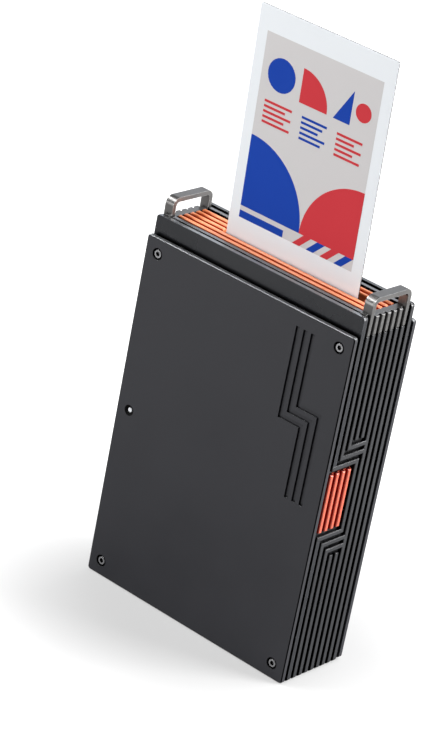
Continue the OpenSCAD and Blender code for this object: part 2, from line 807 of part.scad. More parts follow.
// A spur gear on the X axis with straight-flanked teeth
module spur(teeth, bore) {
    pitch_r = gear_module * teeth / 2;
    root_r = pitch_r - 1.1 * gear_module;
    tip_r = pitch_r - tip_gap;
    tooth = 360 / teeth;
    rotate([0, 90, 0]) linear_extrude(gear_w) difference() {
        union() {
            circle(root_r);
            for (i = [0 : teeth - 1]) rotate(i * tooth)
                polygon([
                    [root_r - 0.1, -gear_module * 0.8], [tip_r, -gear_module * 0.4],
                    [tip_r, gear_module * 0.4], [root_r - 0.1, gear_module * 0.8]]);
        }
        circle(d = bore);
    }
}

module roller_gear() {
    color(brass) translate([gear_x0, drive_y, roller_z]) spur(roller_teeth, shaft_d);
}

module idler_gear() {
    color(brass) translate([gear_x0, idler_y, idler_z]) spur(idler_teeth, stud_d + 2 * run_fit);
}

module motor() {
    x0 = frame_left + frame_t;
    color(steel) {
        rod_x(x0, x0 + motor_l, motor_y, motor_z, motor_d);
        rod_x(x0 - frame_t * 0.8, x0 + eps, motor_y, motor_z, 2.2);
        rod_x(x0 + motor_l - eps, x0 + motor_l + 1, motor_y, motor_z, 1.8);
    }
}

// The pinion with the motor's shaft
module motor_pinion() {
    color(brass) {
        translate([gear_x0, motor_y, motor_z]) spur(pinion_teeth, motor_shaft_d);
        rod_x(gear_x0, frame_left + 0.1, motor_y, motor_z, motor_shaft_d);
    }
}

// Two wires from the motor's rear end down to the main board
module motor_leads() {
    x0 = frame_left + frame_t + motor_l;
    for (i = [0, 1]) color(i == 0 ? [0.7, 0.1, 0.1] : black) {
        x = x0 + 2 + i * 1.4;
        z = motor_z + 1.4 - i * 2.8;
        rod_x(x0, x, motor_y, z, 0.8);
        translate([x, motor_y, z]) sphere(d = 0.8, $fn = 24);
        translate([x, motor_y, board_z1 - 4]) cylinder(d = 0.8, h = z - board_z1 + 4);
        translate([x, motor_y, board_z1 - 4]) sphere(d = 0.8, $fn = 24);
        rod_y(motor_y, board_y, x, board_z1 - 4, 0.8);
    }
}

// The exposure head's housing, held between the frame's side plates
module exposure_head() {
    y1 = min(lens_y1 - 0.6, pack_y0 - seat_gap);
    color(black) difference() {
        span([frame_left + frame_t, head_y0, head_z0], [frame_right, y1, head_z1]);
        span([roller_x0, lens_y1 - 3, head_z0 + 2], [roller_x1, lens_y1, head_z0 + 4.4]);
    }
}

// The bar of tiny lenses that faces the film
module exposure_lens() {
    color([0.8, 0.85, 0.9])
        span([roller_x0, lens_y1 - 3, head_z0 + 2], [roller_x1, lens_y1, head_z0 + 4.4]);
}

// The flat cable from the main board to the exposure head
module head_flex() {
    y1 = board_y - 0.7;
    color([0.85, 0.55, 0.2]) {
        span([6, y1 - 0.2, board_z1 - 6], [16, y1, head_z0]);
        span([5, y1 - eps, board_z1 - 5], [17, board_y, board_z1 - 2]);
    }
}

// The claw that pushes a sheet up out of the pack, on the pack's right side
module film_pick() {
    x0 = pack_x1 + 0.5;
    color(steel) {
        span([x0, pick_y, pack_z + 4], [x0 + 0.6, pick_y + pick_w, pack_z1 - 8]);
        span([pack_x1 - 0.6, pick_y + 0.4, pack_z + 4],
            [x0 + eps, pick_y + pick_w - 0.6, pack_z + 6]);
    }
}

// The claw's return spring, under a tab of the roller frame
module pick_spring() {
    x0 = pack_x1 + 0.8;
    z0 = pick_spring_z1 - 8;
    color(steel) translate([x0, pick_y + pick_w / 2, z0]) cylinder(d = 1.2, h = pick_spring_z1 - z0);
}

// The plate between the electronics and the film bay
module chassis() {
    z0 = side_wall + seat_gap;
    z1 = board_z1 + 2;
    x1 = inner_half - seat_gap;
    color(steel) difference() {
        union() {
            span([-x1, chassis_y, z0], [x1, chassis_y + chassis_t, z1]);
            for (z = [pack_z + 25, pack_z + 70])
                span([pack_x1 + 0.5 + 0.6 + move_gap, chassis_y, z], [x1, pick_y + pick_w + 0.5, z + 4]);
            span([pack_x0, chassis_y, pack_z - 1.3], [pack_x1, pack_y1 - 2, pack_z - 0.1]);
            for (x = [-x1 + 6, x1 - 8], z = [14, 80])
                rod_y(board_y + board_t, chassis_y + eps, x, z, 3);
        }
        span([print_x - 10, chassis_y - 1, pack_z + 30], [print_x + 10, chassis_y + 2, pack_z + 50]);
        span([button_back - button_flange - button_travel - move_gap, chassis_y - 1, button_z0 - 2],
            [inner_half, flange_y1 + 1, button_z1 + 2]);
    }
}

module main_board() {
    color(board_green) difference() {
        span([-board_half, board_y, board_z0], [board_half, board_y + board_t, board_z1]);
        span([board_half - 3, board_y - 1, button_z0 - 4],
            [board_half + 1, board_y + 2, button_z1 + 4]);
    }
}

// Chips, the radio's shield, connectors and the lamp's emitter on the main board
module board_chips() {
    y0 = board_y - chip_h;
    color(black) {
        span([14, y0, 30], [24, board_y, 40]);
        span([12, y0, 12], [24, board_y, 22]);
        span([27, y0, 44], [32, board_y, 50]);
        span([-10, y0 + 0.3, 12], [2, board_y, 24]);
        span([-28, y0 + 0.3, 10], [-20, board_y, 16]);
        span([lamp_x - 1, y0, lamp_z - 1], [lamp_x + 1, board_y, lamp_z + 1]);
        for (i = [0 : 7]) span([28, board_y - 0.6, 12 + i * 2.4], [29.6, board_y, 13 + i * 2.4]);
    }
}

// The charging socket in the left wall
module usb_socket() {
    x0 = -half_w + groove_depth + 0.1;
    y0 = board_y - usb_size[1];
    r = usb_size[1] / 2;
    color(steel) difference() {
        socket_body(x0, x0 + usb_size[0], y0, r, 0);
        socket_body(x0 - 1, x0 + usb_size[0] - 1, y0, r, 0.35);
    }
    color(black)
        span([x0 + 1, y0 + r - 0.35, usb_z + 1.8],
            [x0 + usb_size[0] - 1 + eps, y0 + r + 0.35, usb_z + usb_size[2] - 1.8]);
}

// The round-ended body of the socket, drawn in by inset
module socket_body(x0, x1, y0, r, inset) {
    for (z = [usb_z + r, usb_z + usb_size[2] - r]) rod_x(x0, x1, y0 + r, z, 2 * (r - inset));
    span([x0, y0 + inset, usb_z + r], [x1, y0 + 2 * r - inset, usb_z + usb_size[2] - r]);
}

module battery() {
    color([0.3, 0.35, 0.5]) span(battery_at, battery_at + battery_size);
}

front_plate();
plate_screws();
lamp_ring();
lamp_lens();
front_shell();
mid_frame();
left_loop();
right_loop();
deck_tray();
top_deck();
power_button();
tact_switch();
rear_shell();
rear_screws();
light_seal();
film_door();
hinge_pins();
door_latch();
pressure_springs();
film_pack();
film_stack();
pack_spring();
print_card();
roller_frame();
drive_shaft();
drive_roller();
pinch_shaft();
pinch_roller();
shaft_bushes();
pinch_springs();
roller_gear();
idler_gear();
motor();
motor_pinion();
motor_leads();
exposure_head();
exposure_lens();
head_flex();
film_pick();
pick_spring();
chassis();
main_board();
board_chips();
usb_socket();
battery();
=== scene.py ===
"""The looks of a compact photo printer: a ribbed body with two strap loops, an orange deck and a print."""

import math

import bmesh
import bpy
from mathutils import Matrix, Vector


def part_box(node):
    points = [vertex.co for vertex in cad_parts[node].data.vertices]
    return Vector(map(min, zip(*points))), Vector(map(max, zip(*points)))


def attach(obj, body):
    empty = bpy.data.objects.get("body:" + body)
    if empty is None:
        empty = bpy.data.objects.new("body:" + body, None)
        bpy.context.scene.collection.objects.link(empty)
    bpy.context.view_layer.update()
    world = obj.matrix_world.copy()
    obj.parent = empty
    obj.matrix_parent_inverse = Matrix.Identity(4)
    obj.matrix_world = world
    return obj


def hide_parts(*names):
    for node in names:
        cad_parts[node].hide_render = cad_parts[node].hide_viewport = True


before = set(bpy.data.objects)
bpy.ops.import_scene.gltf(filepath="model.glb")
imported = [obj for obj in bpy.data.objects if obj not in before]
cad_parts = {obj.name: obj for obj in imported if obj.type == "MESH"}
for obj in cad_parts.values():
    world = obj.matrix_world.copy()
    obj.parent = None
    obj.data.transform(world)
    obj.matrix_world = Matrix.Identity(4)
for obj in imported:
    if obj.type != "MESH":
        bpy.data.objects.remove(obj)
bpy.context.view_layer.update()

MM = 0.001

# Points nearer than this, in metres, are one point
MERGE = 1e-6

# Driving sizes of the body, in millimetres, as the construction has them
BODY_W = 85.5
BODY_D = 30.4
SHELL_H = 127
PLATE_H = 120.8
RIB_W = 1.55
LAYERS = 11
PITCH = (BODY_D - RIB_W) / (LAYERS - 1)
GROOVE_W = PITCH - RIB_W

# Edges that turn by less than the first angle are taken away as flat, and those over the second are rounded
FLAT_ANGLE = math.radians(1)
EDGE_ANGLE = math.radians(32)

# A face looks along an axis where its normal reaches this far along it
FACING = 0.9

# How near to the outside of the body and of the deck a rib's outer face lies, in millimetres
RIB_NEAR = 0.2
DECK_NEAR = 0.4

# The band along the front plate's edges that its outline lies in, and how near to the face, in millimetres
PLATE_RIM = 1.6
ON_FACE = 0.02

# How far in from the plate's edges, and how deep under its face, the front screws sit, in millimetres
SCREW_INSET = 5.15
HEAD_SUNK = 0.2

# The radius of the rear screws' heads in the construction, in millimetres
REAR_HEAD_R = 1.6

# Screws, in metres: the chamfer of the head, how much wider than the head the cone that cuts it becomes,
# where the shank starts under the face of the head, and the length of the front screws' shanks
HEAD_CHAMFER = 0.00018
CONE_FLARE = 0.0005
SHANK_START = 0.0006
FRONT_SCREW_LENGTH = 0.0072

# How far the cylinder and the cone that make a head reach past it, as a part of its height
OVERSHOOT = 0.125

# The print: its size, its place across the body, the layer that it stands behind, how far it stands out of
# the deck, its lean, and the rounding of its corners and edges, in millimetres
PRINT_W = 54
PRINT_H = 86
PRINT_T = 0.5
PRINT_X = 4.1
PRINT_LAYER = 5
PRINT_OUT = 76.6
PRINT_LEAN = math.radians(3.25)
PRINT_CORNER = 0.7
PRINT_EDGE = 0.08

# The picture: its size, the border above it, and the thickness of an ink, in millimetres
PICTURE_W = 46
PICTURE_H = 62
PICTURE_TOP = 7.8
INK_T = 0.02

# How far the print's dark backing reaches in front of the print's middle, in millimetres
BACKING_FRONT = 0.05

# The chips on the board, left, foot, right and top, as the construction has them, in millimetres
CHIPS = ((14, 30, 24, 40), (12, 12, 24, 22), (27, 44, 32, 50), (-10, 12, 2, 24), (-28, 10, -20, 16))

# A row of legs: how far beside its chip and in front of the board it lies, and how far from the chip's
# corners it starts and ends, in millimetres
LEG_BESIDE = 0.25
LEG_PROUD = 0.15
LEG_END = 0.7

# The free parts of the board, left, right, low and high, in steps from one small part to the next
FREE_AREAS = ((4, 12, 22, 34), (-11, 3, 12, 34))

# Those steps, and how far in front of the board the small parts' middles lie, in millimetres
PART_STEP_X = 2.6
PART_STEP_Z = 2.4
PART_PROUD = 0.3

# The two columns of grip ribs on the film pack: where the ribs start and end from the pack's sides, how
# many there are, the height of the lowest and the step to the next, in millimetres
GRIP_NEAR = 3.5
GRIP_FAR = 12.5
GRIP_RIBS = 20
GRIP_LOW = 22
GRIP_PITCH = 3.6

# The film pack's mark: where it starts and ends from the pack's left side, and its height, in millimetres
MARK_NEAR = 1.2
MARK_FAR = 2.8
MARK_Z = 70

# The camera's focal length in pixels of the photograph, and its place and angles
PHOTO_LONG_SIDE = 741
FOCAL_PX = 3013.5
CAMERA_AT = (0.5111, -0.6983, 0.4728)
AZIMUTH = math.radians(37.02)
ELEVATION = math.radians(24.12)
ROLL = math.radians(11.13)

# The studio, in metres: what the lights aim at, half the floor's width, how far the floor lies under the
# foot, and between which distances from the middle the floor's painted glow rises to white from the least
# part of it
MIDDLE = (0, 0, 0.07)
FLOOR_REACH = 6
FLOOR_DROP = 0.0002
RISE_START = 0.03
RISE_END = 0.125
RISE_LEAST = 0.42

# The height of a finish's relief at full strength, in metres, and the tones between which roughness runs
RELIEF = 0.00006
TONE_LOW = 0.3
TONE_HIGH = 0.7

# Colours that several finishes use
# Near black, painted as shade in grooves and on rounded edges
PAINTED_SHADE_BLACK = (0.001, 0.001, 0.0015)
# A light grey painted along edges as a highlight
PAINTED_EDGE_HIGHLIGHT = (0.09, 0.095, 0.11)
DUST_GREY = (0.3, 0.3, 0.3)


def layer_front(k):
    """The depth of layer k's front face, in millimetres."""
    return -BODY_D / 2 + (k - 1) * PITCH


def layer_rear(k):
    """The depth of layer k's rear face, in millimetres."""
    return layer_front(k) + RIB_W


# Camera


def make_camera():
    forward = Vector(
        (
            -math.sin(AZIMUTH) * math.cos(ELEVATION),
            math.cos(AZIMUTH) * math.cos(ELEVATION),
            -math.sin(ELEVATION),
        )
    )
    level = Vector((math.cos(AZIMUTH), math.sin(AZIMUTH), 0))
    upright = level.cross(forward)
    right = level * math.cos(ROLL) + upright * math.sin(ROLL)
    up = upright * math.cos(ROLL) - level * math.sin(ROLL)
    data = bpy.data.cameras.new("photo_camera")
    data.sensor_width = 36
    data.lens = FOCAL_PX * data.sensor_width / PHOTO_LONG_SIDE
    data.clip_start = 0.01
    data.clip_end = 50
    camera = bpy.data.objects.new("photo_camera", data)
    bpy.context.scene.collection.objects.link(camera)
    turn = Matrix((right, up, -forward)).transposed().to_4x4()
    camera.matrix_world = Matrix.Translation(Vector(CAMERA_AT)) @ turn
    bpy.context.scene.camera = camera


# Node helpers


def feed(tree, value, socket):
    """Links an output to a socket, or sets the socket to a plain value."""
    if isinstance(value, bpy.types.NodeSocket):
        tree.links.new(value, socket)
    else:
        socket.default_value = value


def ramp(tree, source, low, high, at_low=0.0, at_high=1.0):
    """A value that runs from at_low to at_high while the source runs from low to high."""
    node = tree.nodes.new("ShaderNodeMapRange")
    node.inputs["From Min"].default_value = low
    node.inputs["From Max"].default_value = high
    feed(tree, at_low, node.inputs["To Min"])
    feed(tree, at_high, node.inputs["To Max"])
    feed(tree, source, node.inputs["Value"])
    return node


def reckon(tree, operation, first, second):
    """The output of a Math node that takes two outputs or plain numbers."""
    node = tree.nodes.new("ShaderNodeMath")
    node.operation = operation
    feed(tree, first, node.inputs[0])
    feed(tree, second, node.inputs[1])
    return node.outputs["Value"]


def noise(tree, place, scale, detail):
    node = tree.nodes.new("ShaderNodeTexNoise")
    node.inputs["Detail"].default_value = detail
    feed(tree, scale, node.inputs["Scale"])
    feed(tree, place, node.inputs["Vector"])
    return node.outputs["Fac"]


def blend_color(tree, first, second, mask):
    """A colour mixed from first to second by a mask; first and second are outputs or plain colours."""
    mix = tree.nodes.new("ShaderNodeMix")
    mix.data_type = "RGBA"
    for label, value in (("A", first), ("B", second)):
        color = (*value, 1) if isinstance(value, tuple) else value
        feed(tree, color, mix.inputs[label])
    feed(tree, mask, mix.inputs["Factor"])
    return mix.outputs["Result"]


# Studio


def make_world(light_strength):
    """White where the camera sees it, and a softer white as the light that falls on the object."""
    world = bpy.data.worlds.new("studio_white")
    world.use_nodes = True
    nodes = world.node_tree.nodes
    links = world.node_tree.links
    nodes.clear()
    seen = nodes.new("ShaderNodeBackground")
    seen.inputs["Color"].default_value = (1, 1, 1, 1)
    seen.inputs["Strength"].default_value = 1.0
    light = nodes.new("ShaderNodeBackground")
    light.inputs["Color"].default_value = (0.95, 0.97, 1, 1)
    light.inputs["Strength"].default_value = light_strength
    path = nodes.new("ShaderNodeLightPath")
    mix = nodes.new("ShaderNodeMixShader")
    out = nodes.new("ShaderNodeOutputWorld")
    links.new(path.outputs["Is Camera Ray"], mix.inputs["Fac"])
    links.new(light.outputs["Background"], mix.inputs[1])
    links.new(seen.outputs["Background"], mix.inputs[2])
    links.new(mix.outputs["Shader"], out.inputs["Surface"])
    bpy.context.scene.world = world


def softbox(name, at, size, watts, color=(1, 1, 1)):
    """A lit rectangle that faces the object."""
    data = bpy.data.lights.new(name, "AREA")
    data.shape = "RECTANGLE"
    data.size, data.size_y = size
    data.energy = watts
    data.color = color
    lamp = bpy.data.objects.new(name, data)
    lamp.location = at
    lamp.rotation_euler = (Vector(MIDDLE) - Vector(at)).to_track_quat("-Z", "Y").to_euler()
    bpy.context.scene.collection.objects.link(lamp)


def make_lights():
    softbox("top_box", at=(0.25, 0.6, 1.15), size=(0.8, 0.8), watts=14)
    softbox("left_strip", at=(-0.68, -0.42, 0.95), size=(0.8, 0.12), watts=12.5)
    softbox("right_box", at=(1.15, 0.75, 0.4), size=(0.7, 0.9), watts=43)
    softbox("front_box", at=(-0.6, -1.5, 0.2), size=(1.0, 0.6), watts=14)
    softbox("back_box", at=(-0.75, 1.0, 0.6), size=(0.9, 0.5), watts=2.3, color=(0.9, 0.94, 1))


def floor_glow(material):
    """Painted light: the floor glows towards white for the camera, more the further from the object."""
    tree = material.node_tree
    at = tree.nodes.new("ShaderNodeTexCoord")
    away = tree.nodes.new("ShaderNodeVectorMath")
    away.operation = "LENGTH"
    tree.links.new(at.outputs["Object"], away.inputs[0])
    rise = ramp(tree, away.outputs["Value"], low=RISE_START, high=RISE_END, at_low=RISE_LEAST)
    rise.interpolation_type = "SMOOTHSTEP"
    path = tree.nodes.new("ShaderNodeLightPath")
    lift = reckon(tree, "MULTIPLY", path.outputs["Is Camera Ray"], rise.outputs["Result"])
    shader = tree.nodes["Principled BSDF"]
    shader.inputs["Emission Color"].default_value = (1, 1, 1, 1)
    tree.links.new(lift, shader.inputs["Emission Strength"])


def make_floor(material):
    floor_glow(material)
    bm = bmesh.new()
    bmesh.ops.create_grid(bm, x_segments=1, y_segments=1, size=FLOOR_REACH)
    bmesh.ops.translate(bm, verts=bm.verts, vec=(0, 0, -FLOOR_DROP))
    floor = mesh_object("studio_floor", bm, material)


# Meshes


def mesh_object(name, bm, *materials):
    mesh = bpy.data.meshes.new(name)
    bm.to_mesh(mesh)
    bm.free()
    for material in materials:
        mesh.materials.append(material)
    piece = bpy.data.objects.new(name, mesh)
    bpy.context.scene.collection.objects.link(piece)
    return piece


def bake(piece):
    """Turns a piece with modifiers into a plain mesh."""
    graph = bpy.context.evaluated_depsgraph_get()
    mesh = bpy.data.meshes.new_from_object(piece.evaluated_get(graph))
    piece.modifiers.clear()
    old = piece.data
    piece.data = mesh
    mesh.name = piece.name
    bpy.data.meshes.remove(old)


def belongs(piece, body, slot, *nodes):
    """Says which body a piece rides on and which nodes it stands for; the slot is not used."""
    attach(piece, body)
    if nodes:
        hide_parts(*nodes)


def is_sharp(edge):
    """Whether the faces beside an edge turn by more than a radian."""
    return edge.calc_face_angle(0) > 1


def round_edges(bm, edges, width, steps):
    """Rounds edges by a width in millimetres, also where the roundings meet."""
    bmesh.ops.bevel(
        bm,
        geom=edges,
        offset=width * MM,
        segments=steps,
        profile=0.5,
        affect="EDGES",
        clamp_overlap=False,
    )


def round_ribs(bm, faces_out, width):
    """Rounds the longer edges of the faces that faces_out picks by middle, in millimetres, and normal."""
    shortest = 2.2 * width * MM
    edges = set()
    for face in bm.faces:
        if not faces_out(face.calc_center_median() / MM, face.normal):
            continue
        for edge in face.edges:
            if edge.is_convex and edge.calc_length() > shortest and is_sharp(edge):
                edges.add(edge)
    round_edges(bm, list(edges), width, steps=5)


def round_outline(bm, on_outline, width):
    """Rounds the sharp edges whose middle, in millimetres, on_outline picks."""
    edges = []
    for edge in bm.edges:
        middle = (edge.verts[0].co + edge.verts[1].co) / 2 / MM
        if is_sharp(edge) and on_outline(middle):
            edges.append(edge)
    round_edges(bm, edges, width, steps=4)


def refined(node, name, material, body, slot, edge, steps=2, ribs=None, outline=None):
    """A copy of a CAD node with its edges rounded by edge millimetres, which stands for the node.

    ribs is a test of faces and a width: the edges of those faces are rounded by that width first.
    outline is a test of edges and a width, used in the same way.
    """
    bm = bmesh.new()
    bm.from_mesh(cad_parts[node].data)
    bmesh.ops.remove_doubles(bm, verts=bm.verts, dist=MERGE)
    bmesh.ops.dissolve_limit(bm, angle_limit=FLAT_ANGLE, verts=bm.verts, edges=bm.edges)
    bmesh.ops.recalc_face_normals(bm, faces=bm.faces)
    if ribs:
        round_ribs(bm, *ribs)
    if outline:
        round_outline(bm, *outline)
    for face in bm.faces:
        face.smooth = True
        face.material_index = 0
    piece = mesh_object(name, bm, material)
    bevel = piece.modifiers.new("edges", "BEVEL")
    bevel.width = edge * MM
    bevel.segments = steps
    bevel.limit_method = "ANGLE"
    bevel.angle_limit = EDGE_ANGLE
    weigh = piece.modifiers.new("flat_faces", "WEIGHTED_NORMAL")
    weigh.mode = "FACE_AREA"
    weigh.weight = 100
    weigh.keep_sharp = False
    bake(piece)
    belongs(piece, body, slot, node)


def paint(node, material):
    """Gives a CAD node that stays a material of its own."""
    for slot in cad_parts[node].material_slots:
        slot.link = "OBJECT"
        slot.material = material


# Geometry node trees for what repeats


def grower(name, sizes):
    """A Geometry Nodes tree with named sizes and a material; returns the tree and its input node."""
    tree = bpy.data.node_groups.new(name, "GeometryNodeTree")
    tree.interface.new_socket("Geometry", in_out="INPUT", socket_type="NodeSocketGeometry")
    kinds = {int: "NodeSocketInt", float: "NodeSocketFloat", tuple: "NodeSocketVector"}
    for label, default in sizes.items():
        socket = tree.interface.new_socket(label, in_out="INPUT", socket_type=kinds[type(default)])
        socket.default_value = default
    tree.interface.new_socket("Finish", in_out="INPUT", socket_type="NodeSocketMaterial")
    tree.interface.new_socket("Geometry", in_out="OUTPUT", socket_type="NodeSocketGeometry")
    return tree, tree.nodes.new("NodeGroupInput")


def put(tree, kind, links=None, **values):
    """Adds a node, sets its plain inputs by name and links the others from (node, output) pairs."""
    node = tree.nodes.new(kind)
    for label, value in values.items():
        if hasattr(node, label):
            setattr(node, label, value)
        else:
            node.inputs[label.replace("_", " ")].default_value = value
    for label, (source, output) in (links or {}).items():
        tree.links.new(source.outputs[output], node.inputs[label])
    return node


def ends(tree, given, last, output):
    """Closes a tree: instances made real, the finish set, the result put out."""
    real = put(tree, "GeometryNodeRealizeInstances", {"Geometry": (last, output)})
    joined = put(tree, "GeometryNodeMergeByDistance", {"Geometry": (real, "Geometry")}, Distance=MERGE)
    shaded = put(tree, "GeometryNodeSetShadeSmooth", {"Geometry": (joined, "Geometry")}, Shade_Smooth=False)
    finish = {"Geometry": (shaded, "Geometry"), "Material": (given, "Finish")}
    painted = put(tree, "GeometryNodeSetMaterial", finish)
    out = tree.nodes.new("NodeGroupOutput")
    tree.links.new(painted.outputs["Geometry"], out.inputs["Geometry"])
    return tree


def grow(name, tree, points, edges, finish, **sizes):
    """Runs a tree on points and edges given in millimetres, and keeps the plain mesh that it makes.

    The sizes are the tree's inputs, in metres, with _ for a space.
    """
    bm = bmesh.new()
    verts = [bm.verts.new(Vector(point) * MM) for point in points]
    for a, b in edges:
        bm.edges.new((verts[a], verts[b]))
    piece = mesh_object(name, bm)
    modifier = piece.modifiers.new("grow", "NODES")
    modifier.node_group = tree
    inputs = {label.replace("_", " "): value for label, value in sizes.items()}
    inputs["Finish"] = finish
    for item in tree.interface.items_tree:
        if item.in_out == "INPUT" and item.name in inputs:
            modifier[item.identifier] = inputs[item.name]
    bake(piece)
    return piece


def screw_tree():
    """Socket screws on points: chamfered head, six-sided socket and shank, pointing into the body."""
    sizes = {
        "Head width": 0.0029,
        "Head height": 0.0008,
        "Socket width": 0.0017,
        "Socket depth": 0.00075,
        "Shank width": 0.002,
        "Length": 0.007,
        "Facing": 0.0,
        "Seed": 3,
    }
    tree, given = grower("socket_screws", sizes)

    def times(label, factor, plus=0.0):
        node = tree.nodes.new("ShaderNodeMath")
        node.operation = "MULTIPLY_ADD"
        tree.links.new(given.outputs[label], node.inputs[0])
        node.inputs[1].default_value = factor
        node.inputs[2].default_value = plus
        return (node, "Value")

    def raised(shape, output, height):
        place = put(tree, "ShaderNodeCombineXYZ", {"Z": height})
        moving = {"Geometry": (shape, output), "Translation": (place, "Vector")}
        return put(tree, "GeometryNodeTransform", moving)

    def cylinder(radius, depth, sides):
        return put(tree, "GeometryNodeMeshCylinder", {"Radius": radius, "Depth": depth}, Vertices=sides)

    def merged(operation, *shapes):
        node = put(tree, "GeometryNodeMeshBoolean", operation=operation, solver="MANIFOLD")
        for shape, output in shapes:
            tree.links.new(shape.outputs[output], node.inputs["Mesh 2"])
        return node

    reach = 1 + OVERSHOOT
    head = cylinder(times("Head width", 0.5), times("Head height", reach), sides=40)
    head = raised(head, "Mesh", times("Head height", OVERSHOOT / 2 - 0.5))
    cone = {
        "Radius Top": times("Head width", 0.5, -HEAD_CHAMFER),
        "Radius Bottom": times("Head width", 0.5, CONE_FLARE),
        "Depth": times("Head height", reach),
    }
    rim = put(tree, "GeometryNodeMeshCone", cone, Vertices=40)
    rim = raised(rim, "Mesh", times("Head height", -reach))
    chamfered = merged("INTERSECT", (head, "Geometry"), (rim, "Geometry"))
    shank = cylinder(times("Shank width", 0.5), times("Length", 1.0), sides=24)
    shank = raised(shank, "Mesh", times("Length", -0.5, -SHANK_START))
    body = merged("UNION", (chamfered, "Mesh"), (shank, "Geometry"))
    socket = cylinder(times("Socket width", 0.5), times("Socket depth", 2.0), sides=6)
    cut = merged("DIFFERENCE", (socket, "Mesh"))
    tree.links.new(body.outputs["Mesh"], cut.inputs["Mesh 1"])

    turn = tree.nodes.new("FunctionNodeRandomValue")
    turn.data_type = "FLOAT"
    most = turn.inputs[3]
    most.default_value = 1.0
    tree.links.new(given.outputs["Seed"], turn.inputs["Seed"])
    lean = put(tree, "ShaderNodeCombineXYZ", {"Z": (given, "Facing")}, X=math.radians(90))
    spin = put(tree, "ShaderNodeCombineXYZ", {"Z": (turn, 1)})
    outer = put(tree, "FunctionNodeEulerToRotation", {"Euler": (lean, "Vector")})
    inner = put(tree, "FunctionNodeEulerToRotation", {"Euler": (spin, "Vector")})
    turns = {"Rotation": (outer, "Rotation"), "Rotate By": (inner, "Rotation")}
    both = put(tree, "FunctionNodeRotateRotation", turns, rotation_space="LOCAL")
    placing = {"Points": (given, "Geometry"), "Instance": (cut, "Mesh"), "Rotation": (both, "Rotation")}
    return ends(tree, given, put(tree, "GeometryNodeInstanceOnPoints", placing), "Instances")


def slat_tree():
    """A bar with rounded edges along every edge of the mesh."""
    tree, given = grower("rounded_slats", {"Across": 0.001, "Upward": 0.001, "Rounding": 0.0002})
    line = put(tree, "GeometryNodeMeshToCurve", {"Mesh": (given, "Geometry")})
    line = put(tree, "GeometryNodeSetCurveNormal", {"Curve": (line, "Curve")}, mode="Z_UP")
    sides = {"Width": (given, "Across"), "Height": (given, "Upward")}
    shape = put(tree, "GeometryNodeCurvePrimitiveQuadrilateral", sides)
    corners = {"Curve": (shape, "Curve"), "Radius": (given, "Rounding")}
    shape = put(tree, "GeometryNodeFilletCurve", corners, mode="POLY", Count=4)
    along = {"Curve": (line, "Curve"), "Profile Curve": (shape, "Curve")}
    bar = put(tree, "GeometryNodeCurveToMesh", along, Fill_Caps=True)
    return ends(tree, given, bar, "Mesh")


def coil_tree():
    """A coil of wire that stands on each point."""
    sizes = {"Coil radius": 0.0005, "Height": 0.008, "Turns": 9.0, "Wire radius": 0.0001}
    tree, given = grower("wire_coils", sizes)
    winding = {
        "Rotations": (given, "Turns"),
        "Start Radius": (given, "Coil radius"),
        "End Radius": (given, "Coil radius"),
        "Height": (given, "Height"),
    }
    path = put(tree, "GeometryNodeCurveSpiral", winding, Resolution=20)
    wire = put(tree, "GeometryNodeCurvePrimitiveCircle", {"Radius": (given, "Wire radius")}, Resolution=8)
    along = {"Curve": (path, "Curve"), "Profile Curve": (wire, "Curve")}
    coil = put(tree, "GeometryNodeCurveToMesh", along, Fill_Caps=True)
    placing = {"Points": (given, "Geometry"), "Instance": (coil, "Mesh")}
    return ends(tree, given, put(tree, "GeometryNodeInstanceOnPoints", placing), "Instances")


def row_tree():
    """Small blocks set at a pitch along every edge of the mesh, such as the legs of a chip."""
    tree, given = grower("block_rows", {"Pitch": 0.0008, "Block": (0.0003, 0.0004, 0.0006)})
    line = put(tree, "GeometryNodeMeshToCurve", {"Mesh": (given, "Geometry")})
    steps = {"Curve": (line, "Curve"), "Length": (given, "Pitch")}
    dots = put(tree, "GeometryNodeCurveToPoints", steps, mode="LENGTH")
    block = put(tree, "GeometryNodeMeshCube", {"Size": (given, "Block")})
    placing = {"Points": (dots, "Points"), "Instance": (block, "Mesh")}
    return ends(tree, given, put(tree, "GeometryNodeInstanceOnPoints", placing), "Instances")


def scatter_tree():
    """Small parts strewn over the points of a mesh: some points are skipped and the sizes vary."""
    tree, given = grower("strewn_parts", {"Part": (0.0012, 0.0005, 0.0007), "Share": 0.6, "Seed": 5})
    chance = tree.nodes.new("FunctionNodeRandomValue")
    chance.data_type = "BOOLEAN"
    tree.links.new(given.outputs["Share"], chance.inputs["Probability"])
    tree.links.new(given.outputs["Seed"], chance.inputs["Seed"])
    growth = tree.nodes.new("FunctionNodeRandomValue")
    growth.data_type = "FLOAT_VECTOR"
    least, most = growth.inputs[0], growth.inputs[1]
    least.default_value = (0.7, 1.0, 0.8)
    most.default_value = (1.5, 1.0, 1.4)
    tree.links.new(given.outputs["Seed"], growth.inputs["Seed"])
    block = put(tree, "GeometryNodeMeshCube", {"Size": (given, "Part")})
    placing = {
        "Points": (given, "Geometry"),
        "Instance": (block, "Mesh"),
        "Selection": (chance, 3),
        "Scale": (growth, 0),
    }
    return ends(tree, given, put(tree, "GeometryNodeInstanceOnPoints", placing), "Instances")


# Shader node groups


def shader_group(name, inputs, outputs):
    """A shader node group with named numbers in and out; returns the group and its two end nodes."""
    tree = bpy.data.node_groups.new(name, "ShaderNodeTree")
    for label, default in inputs.items():
        socket = tree.interface.new_socket(label, in_out="INPUT", socket_type="NodeSocketFloat")
        socket.default_value = default
    for label in outputs:
        tree.interface.new_socket(label, in_out="OUTPUT", socket_type="NodeSocketFloat")
    return tree, tree.nodes.new("NodeGroupInput"), tree.nodes.new("NodeGroupOutput")


